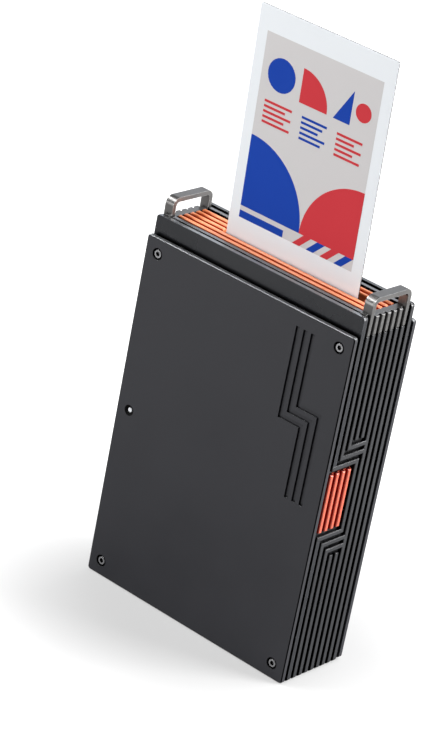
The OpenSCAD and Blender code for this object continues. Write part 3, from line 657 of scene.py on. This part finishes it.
def make_grain_group():
    """Moulded or coated grain: a fine height, and a broad tone that varies slowly."""
    inputs = {"Grain scale": 5200.0, "Tone scale": 38.0}
    tree, given, out = shader_group("coated_grain", inputs, ["Height", "Tone"])
    at = tree.nodes.new("ShaderNodeTexCoord")
    fine = noise(tree, at.outputs["Object"], given.outputs["Grain scale"], detail=3)
    broad = noise(tree, at.outputs["Object"], given.outputs["Tone scale"], detail=4)
    tree.links.new(fine, out.inputs["Height"])
    tree.links.new(broad, out.inputs["Tone"])
    return tree


def make_brush_group():
    """Fine lines drawn along one axis of the object, as brushed metal has."""
    inputs = {"Line scale": 3000.0, "Stretch": 0.03}
    tree, given, out = shader_group("brushed_lines", inputs, ["Height", "Tone"])
    at = tree.nodes.new("ShaderNodeTexCoord")
    scale = put(tree, "ShaderNodeCombineXYZ", {"Y": (given, "Stretch")}, X=1, Z=1)
    stretch = put(tree, "ShaderNodeMapping", {"Scale": (scale, "Vector"), "Vector": (at, "Object")})
    lines = noise(tree, stretch.outputs["Vector"], given.outputs["Line scale"], detail=2)
    broad = noise(tree, at.outputs["Object"], scale=60, detail=3)
    tree.links.new(lines, out.inputs["Height"])
    tree.links.new(broad, out.inputs["Tone"])
    return tree


def make_edge_paint_group():
    """A mask of the outer edges, broken up by noise, for painted highlight or painted shade along them."""
    inputs = {"Edge width": 0.0003, "Breakup scale": 700.0}
    tree, given, out = shader_group("painted_edge_highlight_shade", inputs, ["Mask"])
    rounded = put(tree, "ShaderNodeBevel", {"Radius": (given, "Edge width")}, samples=4)
    face = tree.nodes.new("ShaderNodeNewGeometry")
    along = tree.nodes.new("ShaderNodeVectorMath")
    along.operation = "DOT_PRODUCT"
    tree.links.new(rounded.outputs["Normal"], along.inputs[0])
    tree.links.new(face.outputs["Normal"], along.inputs[1])
    near_edge = ramp(tree, along.outputs["Value"], low=1.0, high=0.86)
    at = tree.nodes.new("ShaderNodeTexCoord")
    broken = noise(tree, at.outputs["Object"], given.outputs["Breakup scale"], detail=4)
    patches = ramp(tree, broken, low=0.3, high=0.6, at_low=0.35)
    mask = reckon(tree, "MULTIPLY", near_edge.outputs["Result"], patches.outputs["Result"])
    tree.links.new(mask, out.inputs["Mask"])
    return tree


def make_recess_shade_group():
    """A mask of grooves and corners that little light gets into, for painted shade there."""
    tree, given, out = shader_group("painted_recess_shade", {"Reach": 0.0015}, ["Mask"])
    open_sky = put(tree, "ShaderNodeAmbientOcclusion", {"Distance": (given, "Reach")}, samples=8)
    mask = ramp(tree, open_sky.outputs["AO"], low=0.85, high=0.45)
    tree.links.new(mask.outputs["Result"], out.inputs["Mask"])
    return tree


def make_brim_light_group():
    """A mask of the faces that look up, for painted light on them."""
    tree, given, out = shader_group("painted_brim_light", {"Amount": 1.0}, ["Mask"])
    at = tree.nodes.new("ShaderNodeTexCoord")
    parts = put(tree, "ShaderNodeSeparateXYZ", {"Vector": (at, "Normal")})
    mask = ramp(tree, parts.outputs["Z"], low=0.4, high=0.85, at_high=given.outputs["Amount"])
    tree.links.new(mask.outputs["Result"], out.inputs["Mask"])
    return tree


def make_slant_shade_group():
    """A mask of faces aslant to all three axes, as a box's rounded edges are, for painted shade on them."""
    tree, given, out = shader_group("painted_slant_shade", {"Amount": 1.0}, ["Mask"])
    at = tree.nodes.new("ShaderNodeTexCoord")
    size = tree.nodes.new("ShaderNodeVectorMath")
    size.operation = "ABSOLUTE"
    tree.links.new(at.outputs["Normal"], size.inputs[0])
    parts = put(tree, "ShaderNodeSeparateXYZ", {"Vector": (size, "Vector")})
    flat = reckon(tree, "MAXIMUM", parts.outputs["X"], parts.outputs["Y"])
    flat = reckon(tree, "MAXIMUM", flat, parts.outputs["Z"])
    mask = ramp(tree, flat, low=0.99, high=0.9, at_high=given.outputs["Amount"])
    tree.links.new(mask.outputs["Result"], out.inputs["Mask"])
    return tree


def make_dust_group():
    """Faint specks of dust: a mask that is zero nearly everywhere."""
    tree, given, out = shader_group("fine_dust", {"Speck scale": 900.0, "Amount": 0.3}, ["Mask"])
    at = tree.nodes.new("ShaderNodeTexCoord")
    cells = put(tree, "ShaderNodeTexVoronoi", {"Vector": (at, "Object"), "Scale": (given, "Speck scale")})
    specks = ramp(tree, cells.outputs["Distance"], low=0.0, high=0.14, at_low=1.0, at_high=0.0)
    mask = reckon(tree, "MULTIPLY", specks.outputs["Result"], given.outputs["Amount"])
    tree.links.new(mask, out.inputs["Mask"])
    return tree


# Materials


def place_group(tree, group, **values):
    """Places a shader node group in a material and sets its inputs by name."""
    node = tree.nodes.new("ShaderNodeGroup")
    node.node_tree = group
    for label, value in values.items():
        node.inputs[label.replace("_", " ")].default_value = value
    return node


def surface(
    effects,
    name,
    scale,
    dark,
    light,
    rough,
    bump,
    base="grain",
    metallic=0.0,
    coat=0.0,
    specular=0.5,
    painted_edge=None,
    edge_metallic=False,
    chamfer=None,
    brim_light=None,
    recess_shade=None,
    dust=None,
):
    """A finish whose colour runs between dark and light, and its roughness over rough, by the base's tone.

    base is grain or brush, and scale is its fineness. painted_edge is an edge width in millimetres and a
    colour painted along the outer edges, painted highlight where it is light and painted shade where it is
    dark; edge_metallic makes these edges metallic. chamfer is the colour of painted shade on rounded edges.
    brim_light is the colour of painted light on the faces that look up. recess_shade is a reach in
    millimetres and the colour of painted shade deep in the grooves. dust is an amount.
    """
    material = bpy.data.materials.new(name)
    material.use_nodes = True
    tree = material.node_tree
    shader = tree.nodes["Principled BSDF"]
    pattern = place_group(tree, effects[base])
    pattern.inputs[0].default_value = scale
    color = blend_color(tree, dark, light, pattern.outputs["Tone"])
    metal = []
    # Painted highlight along the outer edges, or painted shade where the edge colour is dark
    if painted_edge:
        mask = place_group(tree, effects["painted_edge"], Edge_width=painted_edge[0] * MM).outputs["Mask"]
        color = blend_color(tree, color, painted_edge[1], mask)
        if edge_metallic:
            metal.append(mask)
    # Painted shade on the rounded edges
    if chamfer:
        mask = place_group(tree, effects["chamfer"]).outputs["Mask"]
        color = blend_color(tree, color, chamfer, mask)
        metal.append(mask)
    # Painted light on the faces that look up
    if brim_light:
        mask = place_group(tree, effects["brim_light"]).outputs["Mask"]
        color = blend_color(tree, color, brim_light, mask)
        metal.append(mask)
    # Painted shade deep in the grooves and corners
    if recess_shade:
        mask = place_group(tree, effects["recess_shade"], Reach=recess_shade[0] * MM).outputs["Mask"]
        color = blend_color(tree, color, recess_shade[1], mask)
        metal.append(mask)
    if dust:
        mask = place_group(tree, effects["dust"], Amount=dust).outputs["Mask"]
        color = blend_color(tree, color, DUST_GREY, mask)
    tree.links.new(color, shader.inputs["Base Color"])
    shader.inputs["Metallic"].default_value = metallic
    level = metallic
    # The masks of painted light and shade listed here also make the surface metallic, so painted shade
    # reflects nothing and painted light shines
    for mask in metal:
        level = reckon(tree, "MAXIMUM", mask, level)
        tree.links.new(level, shader.inputs["Metallic"])
    spread = ramp(tree, pattern.outputs["Tone"], TONE_LOW, TONE_HIGH, rough[0], rough[1])
    tree.links.new(spread.outputs["Result"], shader.inputs["Roughness"])
    relief = put(tree, "ShaderNodeBump", {"Height": (pattern, "Height")}, Strength=bump, Distance=RELIEF)
    tree.links.new(relief.outputs["Normal"], shader.inputs["Normal"])
    shader.inputs["Specular IOR Level"].default_value = specular
    shader.inputs["Coat Weight"].default_value = coat
    shader.inputs["Coat Roughness"].default_value = 0.2
    return material


# What surface is given for each finish; three of them share a charcoal ground
CHARCOAL = {
    "scale": 4600,
    "dark": (0.01, 0.011, 0.014),
    "light": (0.016, 0.017, 0.0205),
    "rough": (0.24, 0.32),
    "bump": 0.25,
}

# The edge, chamfer, brim and recess colours below are painted highlight, painted light and painted shade
FINISHES = {
    "plate": {
        "name": "charcoal plate",
        "scale": 4200,
        "dark": (0.0148, 0.0151, 0.0195),
        "light": (0.02, 0.0204, 0.026),
        "rough": (0.42, 0.54),
        "bump": 0.3,
        "specular": 0.45,
        "chamfer": PAINTED_SHADE_BLACK,
        "brim_light": (0.25, 0.255, 0.265),
        "recess_shade": (0.9, (0.002, 0.002, 0.003)),
        "dust": 0.05,
    },
    "shell": CHARCOAL
    | {
        "name": "charcoal shell",
        "specular": 0.75,
        "painted_edge": (0.4, (0.004, 0.004, 0.005)),
        "edge_metallic": True,
        "recess_shade": (2.2, PAINTED_SHADE_BLACK),
        "dust": 0.04,
    },
    "tray": CHARCOAL
    | {
        "name": "charcoal tray",
        "specular": 0.6,
        "painted_edge": (0.4, PAINTED_EDGE_HIGHLIGHT),
        "brim_light": (0.165, 0.16, 0.165),
        "recess_shade": (3.0, PAINTED_SHADE_BLACK),
    },
    "brim_light": CHARCOAL
    | {
        "name": "charcoal brim",
        "painted_edge": (0.4, PAINTED_EDGE_HIGHLIGHT),
        "brim_light": (0.24, 0.245, 0.255),
        "recess_shade": (2.4, PAINTED_SHADE_BLACK),
        "dust": 0.04,
    },
    "gunmetal": {
        "name": "gunmetal",
        "base": "brush",
        "scale": 2600,
        "dark": (0.112, 0.11, 0.109),
        "light": (0.176, 0.172, 0.168),
        "rough": (0.32, 0.44),
        "bump": 0.15,
        "metallic": 0.9,
        "painted_edge": (0.3, (0.42, 0.42, 0.42)),
        "recess_shade": (1.1, (0.01, 0.009, 0.008)),
    },
    "orange": {
        "name": "orange deck",
        "scale": 3800,
        "dark": (0.88, 0.25, 0.092),
        "light": (0.92, 0.305, 0.12),
        "rough": (0.3, 0.4),
        "bump": 0.1,
        "specular": 0.4,
        "painted_edge": (0.3, (1.0, 0.55, 0.34)),
        "recess_shade": (1.7, (0.4, 0.018, 0.004)),
    },
    "coral": {
        "name": "coral button",
        "scale": 3800,
        "dark": (0.61, 0.09, 0.042),
        "light": (0.66, 0.112, 0.054),
        "rough": (0.3, 0.4),
        "bump": 0.15,
        "coat": 0.45,
        "specular": 0.55,
        "painted_edge": (0.25, (0.84, 0.34, 0.22)),
        "recess_shade": (3.0, (0.3, 0.002, 0.0005)),
    },
    "steel": {
        "name": "steel",
        "base": "brush",
        "scale": 3000,
        "dark": (0.42, 0.43, 0.45),
        "light": (0.55, 0.56, 0.58),
        "rough": (0.25, 0.4),
        "bump": 0.1,
        "metallic": 1.0,
    },
    "screw": {
        "name": "blackened steel",
        "base": "brush",
        "scale": 3000,
        "dark": (0.3, 0.3, 0.31),
        "light": (0.4, 0.4, 0.41),
        "rough": (0.3, 0.42),
        "bump": 0.1,
        "metallic": 0.9,
        "painted_edge": (0.2, (0.8, 0.8, 0.82)),
        "recess_shade": (1.3, (0.001, 0.001, 0.001)),
    },
    "black": {
        "name": "black plastic",
        "scale": 4000,
        "dark": (0.006, 0.006, 0.007),
        "light": (0.012, 0.012, 0.013),
        "rough": (0.4, 0.55),
        "bump": 0.2,
        "specular": 0.35,
        "painted_edge": (0.25, (0.05, 0.05, 0.055)),
    },
    "ribs": {
        "name": "grip ribs",
        "scale": 4000,
        "dark": (0.02, 0.02, 0.022),
        "light": (0.03, 0.03, 0.033),
        "rough": (0.3, 0.4),
        "bump": 0.2,
        "painted_edge": (0.2, PAINTED_EDGE_HIGHLIGHT),
    },
    "dish": {
        "name": "lamp dish",
        "scale": 4000,
        "dark": (0.0012, 0.0012, 0.0012),
        "light": (0.002, 0.002, 0.002),
        "rough": (0.6, 0.7),
        "bump": 0.1,
        "specular": 0.1,
    },
    "lamp": {
        "name": "lamp pipe",
        "scale": 2000,
        "dark": (0.85, 0.87, 0.9),
        "light": (0.9, 0.92, 0.95),
        "rough": (0.2, 0.3),
        "bump": 0.02,
        "coat": 0.5,
    },
    "rubber": {
        "name": "black rubber",
        "scale": 3000,
        "dark": (0.012, 0.012, 0.012),
        "light": (0.02, 0.02, 0.02),
        "rough": (0.7, 0.85),
        "bump": 0.4,
    },
    "brass": {
        "name": "brass",
        "base": "brush",
        "scale": 3000,
        "dark": (0.55, 0.36, 0.14),
        "light": (0.68, 0.46, 0.2),
        "rough": (0.25, 0.4),
        "bump": 0.1,
        "metallic": 1.0,
    },
    "card": {
        "name": "print border",
        "scale": 900,
        "dark": (0.83, 0.86, 0.89),
        "light": (0.84, 0.87, 0.9),
        "rough": (0.3, 0.34),
        "bump": 0.02,
        "coat": 0.2,
    },
    "ground": {
        "name": "picture ground",
        "scale": 900,
        "dark": (0.615, 0.595, 0.595),
        "light": (0.625, 0.605, 0.605),
        "rough": (0.34, 0.37),
        "bump": 0.02,
    },
    "blue": {
        "name": "picture blue",
        "scale": 900,
        "dark": (0.0025, 0.0455, 0.36),
        "light": (0.0045, 0.052, 0.395),
        "rough": (0.36, 0.42),
        "bump": 0.02,
        "specular": 0.15,
    },
    "red": {
        "name": "picture red",
        "scale": 900,
        "dark": (0.575, 0.034, 0.0455),
        "light": (0.615, 0.04, 0.052),
        "rough": (0.36, 0.42),
        "bump": 0.02,
        "specular": 0.15,
    },
    "back": {
        "name": "print back",
        "scale": 3000,
        "dark": (0.01, 0.01, 0.011),
        "light": (0.014, 0.014, 0.015),
        "rough": (0.4, 0.5),
        "bump": 0.1,
    },
    "ceramic": {
        "name": "ceramic parts",
        "scale": 3000,
        "dark": (0.28, 0.2, 0.13),
        "light": (0.4, 0.3, 0.2),
        "rough": (0.4, 0.5),
        "bump": 0.1,
    },
    "board": {
        "name": "circuit board",
        "scale": 2500,
        "dark": (0.01, 0.09, 0.04),
        "light": (0.02, 0.13, 0.06),
        "rough": (0.3, 0.45),
        "bump": 0.1,
    },
    "amber": {
        "name": "amber film",
        "scale": 2500,
        "dark": (0.5, 0.2, 0.03),
        "light": (0.6, 0.26, 0.05),
        "rough": (0.3, 0.4),
        "bump": 0.05,
    },
    "foil": {
        "name": "battery wrap",
        "scale": 2500,
        "dark": (0.1, 0.12, 0.2),
        "light": (0.14, 0.16, 0.26),
        "rough": (0.3, 0.45),
        "bump": 0.1,
        "metallic": 0.3,
    },
    "glass": {
        "name": "lens glass",
        "scale": 2500,
        "dark": (0.7, 0.75, 0.8),
        "light": (0.75, 0.8, 0.85),
        "rough": (0.05, 0.1),
        "bump": 0.0,
        "coat": 0.5,
    },
    "floor": {
        "name": "studio floor",
        "scale": 60,
        "dark": (0.32, 0.32, 0.32),
        "light": (0.34, 0.34, 0.34),
        "rough": (0.8, 0.9),
        "bump": 0.0,
        "specular": 0.2,
    },
}


def make_materials():
    effects = {
        "grain": make_grain_group(),
        "brush": make_brush_group(),
        "painted_edge": make_edge_paint_group(),
        "chamfer": make_slant_shade_group(),
        "brim_light": make_brim_light_group(),
        "recess_shade": make_recess_shade_group(),
        "dust": make_dust_group(),
    }
    return {key: surface(effects, **finish) for key, finish in FINISHES.items()}


# The print


def print_place():
    """The print's own frame: x across, y into the body, z up along the card, from the deck."""
    y = (layer_rear(PRINT_LAYER) + GROOVE_W / 2) * MM
    return Matrix.Translation((PRINT_X * MM, y, SHELL_H * MM)) @ Matrix.Rotation(PRINT_LEAN, 4, "X")


def flat_shape(bm, points, low, high):
    """A closed prism on the print: points across and up the card, low and high in front of its middle."""
    place = print_place()
    near = [bm.verts.new(place @ Vector((x * MM, -high * MM, z * MM))) for x, z in points]
    far = [bm.verts.new(place @ Vector((x * MM, -low * MM, z * MM))) for x, z in points]
    bm.faces.new(near)
    bm.faces.new(list(reversed(far)))
    for i in range(len(points)):
        j = (i + 1) % len(points)
        bm.faces.new((near[j], near[i], far[i], far[j]))


def flat_piece(name, shapes, low, high, material):
    """A piece of the print made of flat shapes, between two distances in front of the print's middle."""
    bm = bmesh.new()
    for points in shapes:
        flat_shape(bm, points, low, high)
    bmesh.ops.recalc_face_normals(bm, faces=bm.faces)
    return mesh_object(name, bm, material)


def rectangle(x0, z0, x1, z1):
    return [(x0, z0), (x1, z0), (x1, z1), (x0, z1)]


def sector(x, z, r, start, end, steps=28):
    """A piece of a disc from start to end degrees, closed through its middle unless it is a whole disc."""
    whole = end - start >= 360
    points = []
    for i in range(steps if whole else steps + 1):
        a = math.radians(start + (end - start) * i / steps)
        points.append((x + r * math.cos(a), z + r * math.sin(a)))
    return points if whole else points + [(x, z)]


def round_rectangle(w, z0, z1, r, steps=6):
    side = w / 2 - r
    corners = ((side, z1 - r, 0), (-side, z1 - r, 90), (-side, z0 + r, 180), (side, z0 + r, 270))
    points = []
    for x, z, start in corners:
        for i in range(steps + 1):
            a = math.radians(start + 90 * i / steps)
            points.append((x + r * math.cos(a), z + r * math.sin(a)))
    return points


def picture_shapes():
    """A generic pattern of discs, wedges and bars in two inks, from the picture's lower left corner."""
    blue = [sector(8, 50, 5.5, 0, 360), [(29.5, 44.5), (36, 44.5), (36, 55.5)]]
    red = [sector(16, 44.5, 11, 0, 90), sector(40.5, 50, 3, 0, 360)]
    for i in range(5):
        low = 40 - i * 1.7
        high = 40.8 - i * 1.7
        red.append(rectangle(3, low, 14 - (i % 2) * 2.5, high))
        blue.append(rectangle(18, low, 28 - (i % 3) * 1.5, high))
        red.append(rectangle(32, low, 42 - (i % 2) * 3, high))
    blue.append(sector(0, 4, 24, 0, 90))
    red.append(sector(46, 4, 22, 90, 180))
    for i in range(4):
        x = 22 + i * 5.6
        stripes = blue if i % 2 else red
        stripes.append([(x, 0), (x + 3, 0), (x + 7, 4), (x + 4, 4)])
    blue.append(rectangle(0, 0, 18, 2.4))
    return {"blue": blue, "red": red}


def make_print(made):
    """The white card, the picture's ground and inks, and the dark back layer, as wide as the card."""
    face = PRINT_T / 2
    outline = round_rectangle(PRINT_W, PRINT_OUT - PRINT_H, PRINT_OUT, PRINT_CORNER)
    card = flat_piece("print_body", [outline], BACKING_FRONT, face, made["card"])
    bevel = card.modifiers.new("edges", "BEVEL")
    bevel.width = PRINT_EDGE * MM
    bevel.segments = 2
    bake(card)
    belongs(card, "print", "print_paper", "print_card")
    foot = PRINT_OUT - PICTURE_TOP - PICTURE_H
    left = -PICTURE_W / 2
    layers = {"ground": [rectangle(0, 0, PICTURE_W, PICTURE_H)]} | picture_shapes()
    for i, (name, shapes) in enumerate(layers.items()):
        placed = [[(left + x, foot + z) for x, z in points] for points in shapes]
        ink = flat_piece("picture_" + name, placed, face - INK_T, face + INK_T * (i + 1), made[name])
        belongs(ink, "print", "print_paper")
    backing = flat_piece("print_backing", [outline], -face, BACKING_FRONT, made["back"])
    belongs(backing, "print", "print_paper")


# The object


def side_rib(middle, normal):
    """A rib's outer face on the left, the right or the foot of the body."""
    on_side = abs(normal.x) > FACING and abs(middle.x) > BODY_W / 2 - RIB_NEAR
    on_foot = normal.z < -FACING and middle.z < RIB_NEAR
    return on_side or on_foot


def deck_rib(middle, normal):
    """The top face of a rib of the deck."""
    return normal.z > FACING and middle.z > SHELL_H - DECK_NEAR


def button_rib(middle, normal):
    """The outer face of a rib of the power button."""
    return normal.x > FACING and middle.x > BODY_W / 2 - RIB_NEAR


def plate_outline(middle):
    """The front plate's outer edges, on its face."""
    beside = abs(middle.x) > BODY_W / 2 - PLATE_RIM
    above_or_below = middle.z < PLATE_RIM or middle.z > PLATE_H - PLATE_RIM
    return (beside or above_or_below) and abs(middle.y - layer_front(1)) < ON_FACE


def make_body(made):
    """The outer nodes of the construction with their edges rounded."""
    plate, shell, metal = made["plate"], made["shell"], made["gunmetal"]
    rim = (plate_outline, 0.45)
    refined("front_plate", "plate_front", plate, "case", "charcoal_plate", edge=0.17, steps=3, outline=rim)
    refined("front_shell", "shell_front", made["brim_light"], "case", "charcoal_shell", edge=0.35, steps=4)
    refined("mid_frame", "frame_middle", shell, "case", "charcoal_shell", edge=0.15, ribs=(side_rib, 0.22))
    refined("rear_shell", "shell_rear", shell, "case", "charcoal_shell", edge=0.18, steps=3)
    refined("film_door", "door_rear", plate, "door", "charcoal_shell", edge=0.15, steps=3)
    refined("deck_tray", "tray_deck", made["tray"], "case", "charcoal_shell", edge=0.1)
    refined("top_deck", "deck_top", made["orange"], "case", "orange_deck", edge=0.12, ribs=(deck_rib, 0.5))
    ribs = (button_rib, 0.45)
    refined("power_button", "button_power", made["coral"], "button", "coral_button", edge=0.12, ribs=ribs)
    ribs = (side_rib, 0.3)
    refined("left_loop", "loop_left", metal, "case", "gunmetal", edge=0.3, steps=3, ribs=ribs)
    refined("right_loop", "loop_right", metal, "case", "gunmetal", edge=0.3, steps=3, ribs=ribs)
    refined("door_latch", "latch_door", metal, "latch", "gunmetal", edge=0.12)
    refined("lamp_ring", "ring_lamp", made["dish"], "case", "black_plastic", edge=0.05)
    refined("lamp_lens", "lens_lamp", made["lamp"], "case", "lamp_white", edge=0.15, steps=3)


def four_corners(x, y, low, high):
    return [(side * x, y, z) for side in (-1, 1) for z in (low, high)]


def make_screws(made):
    """The socket screws of the front plate and of the rear shell, under the film door."""
    tree = screw_tree()
    face = layer_front(1) + HEAD_SUNK
    points = four_corners(BODY_W / 2 - SCREW_INSET, face, SCREW_INSET, PLATE_H - SCREW_INSET)
    front = grow("screws_plate", tree, points, [], made["screw"], Length=FRONT_SCREW_LENGTH, Seed=4)
    belongs(front, "case", "steel", "plate_screws")
    low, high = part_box("rear_screws")
    x = high[0] / MM - REAR_HEAD_R
    points = four_corners(x, high[1] / MM, low[2] / MM + REAR_HEAD_R, high[2] / MM - REAR_HEAD_R)
    length = high[1] - low[1] - SHANK_START
    rear = grow("screws_rear", tree, points, [], made["screw"], Length=length, Facing=math.pi, Seed=9)
    belongs(rear, "case", "steel", "rear_screws")


def make_spring(made):
    """The claw's return spring as a wound coil, where the construction has its outer cylinder."""
    low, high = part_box("pick_spring")
    wire = 0.0001
    foot = [(low[0] + high[0]) / 2 / MM, (low[1] + high[1]) / 2 / MM, (low[2] + wire) / MM]
    sizes = {"Coil_radius": (high[0] - low[0]) / 2 - wire, "Height": high[2] - low[2] - 2 * wire}
    coil = grow("coil_pick", coil_tree(), [foot], [], made["steel"], Turns=13.0, Wire_radius=wire, **sizes)
    belongs(coil, "case", "steel", "pick_spring")


def make_board_parts(made):
    """Legs along the chips and small parts strewn over the free board, all on the board's front."""
    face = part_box("main_board")[0][1] / MM
    points = []
    edges = []
    for x0, z0, x1, z1 in CHIPS:
        for x in (x0 - LEG_BESIDE, x1 + LEG_BESIDE):
            points += [(x, face - LEG_PROUD, z0 + LEG_END), (x, face - LEG_PROUD, z1 - LEG_END)]
            edges.append((len(points) - 2, len(points) - 1))
    leg = (0.0005, 0.0003, 0.0003)
    legs = grow("chip_legs", row_tree(), points, edges, made["steel"], Pitch=0.0009, Block=leg)
    belongs(legs, "case", "steel")
    spots = []
    for x0, x1, z0, z1 in FREE_AREAS:
        for x in range(x0, x1):
            spots += [(x * PART_STEP_X, face - PART_PROUD, z * PART_STEP_Z) for z in range(z0, z1)]
    parts = grow("board_parts", scatter_tree(), spots, [], made["ceramic"], Share=0.45, Seed=7)
    belongs(parts, "case", "board_green")


def make_pack_back(made):
    """Grip ribs in two columns and a mark on the back of the film pack."""
    low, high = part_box("film_pack")
    face = high[1] / MM
    left = low[0] / MM
    right = high[0] / MM
    points = []
    edges = []
    for x0, x1 in ((left + GRIP_NEAR, left + GRIP_FAR), (right - GRIP_FAR, right - GRIP_NEAR)):
        for i in range(GRIP_RIBS):
            z = GRIP_LOW + i * GRIP_PITCH
            points += [(x0, face, z), (x1, face, z)]
            edges.append((len(points) - 2, len(points) - 1))
    tree = slat_tree()
    rib = {"Across": 0.0003, "Upward": 0.001, "Rounding": 0.0001}
    ribs = grow("pack_ribs", tree, points, edges, made["ribs"], **rib)
    belongs(ribs, "case", "black_plastic")
    line = [(left + MARK_NEAR, face, MARK_Z), (left + MARK_FAR, face, MARK_Z)]
    bar = {"Across": 0.0002, "Upward": 0.006, "Rounding": 0.00005}
    mark = grow("pack_mark", tree, line, [(0, 1)], made["amber"], **bar)
    belongs(mark, "case", "black_plastic")


def paint_inside(made):
    """The finish of each CAD node that stays."""
    finishes = {
        "steel": "hinge_pins pressure_springs pack_spring roller_frame drive_shaft pinch_shaft "
        "pinch_roller chassis film_pick pinch_springs motor usb_socket",
        "black": "tact_switch film_pack exposure_head board_chips",
        "rubber": "drive_roller light_seal motor_leads",
        "brass": "shaft_bushes roller_gear idler_gear motor_pinion",
        "glass": "exposure_lens",
        "card": "film_stack",
        "board": "main_board",
        "amber": "head_flex",
        "foil": "battery",
    }
    for finish, nodes in finishes.items():
        for node in nodes.split():
            paint(node, made[finish])


def plain_view():
    """Colours as they are, without a film look."""
    settings = bpy.context.scene.view_settings
    settings.view_transform = "Standard"
    settings.look = "None"


make_camera()
make_world(light_strength=0.07)
made = make_materials()
make_floor(made["floor"])
make_body(made)
make_screws(made)
make_print(made)
make_spring(made)
make_board_parts(made)
make_pack_back(made)
paint_inside(made)
make_lights()
plain_view()
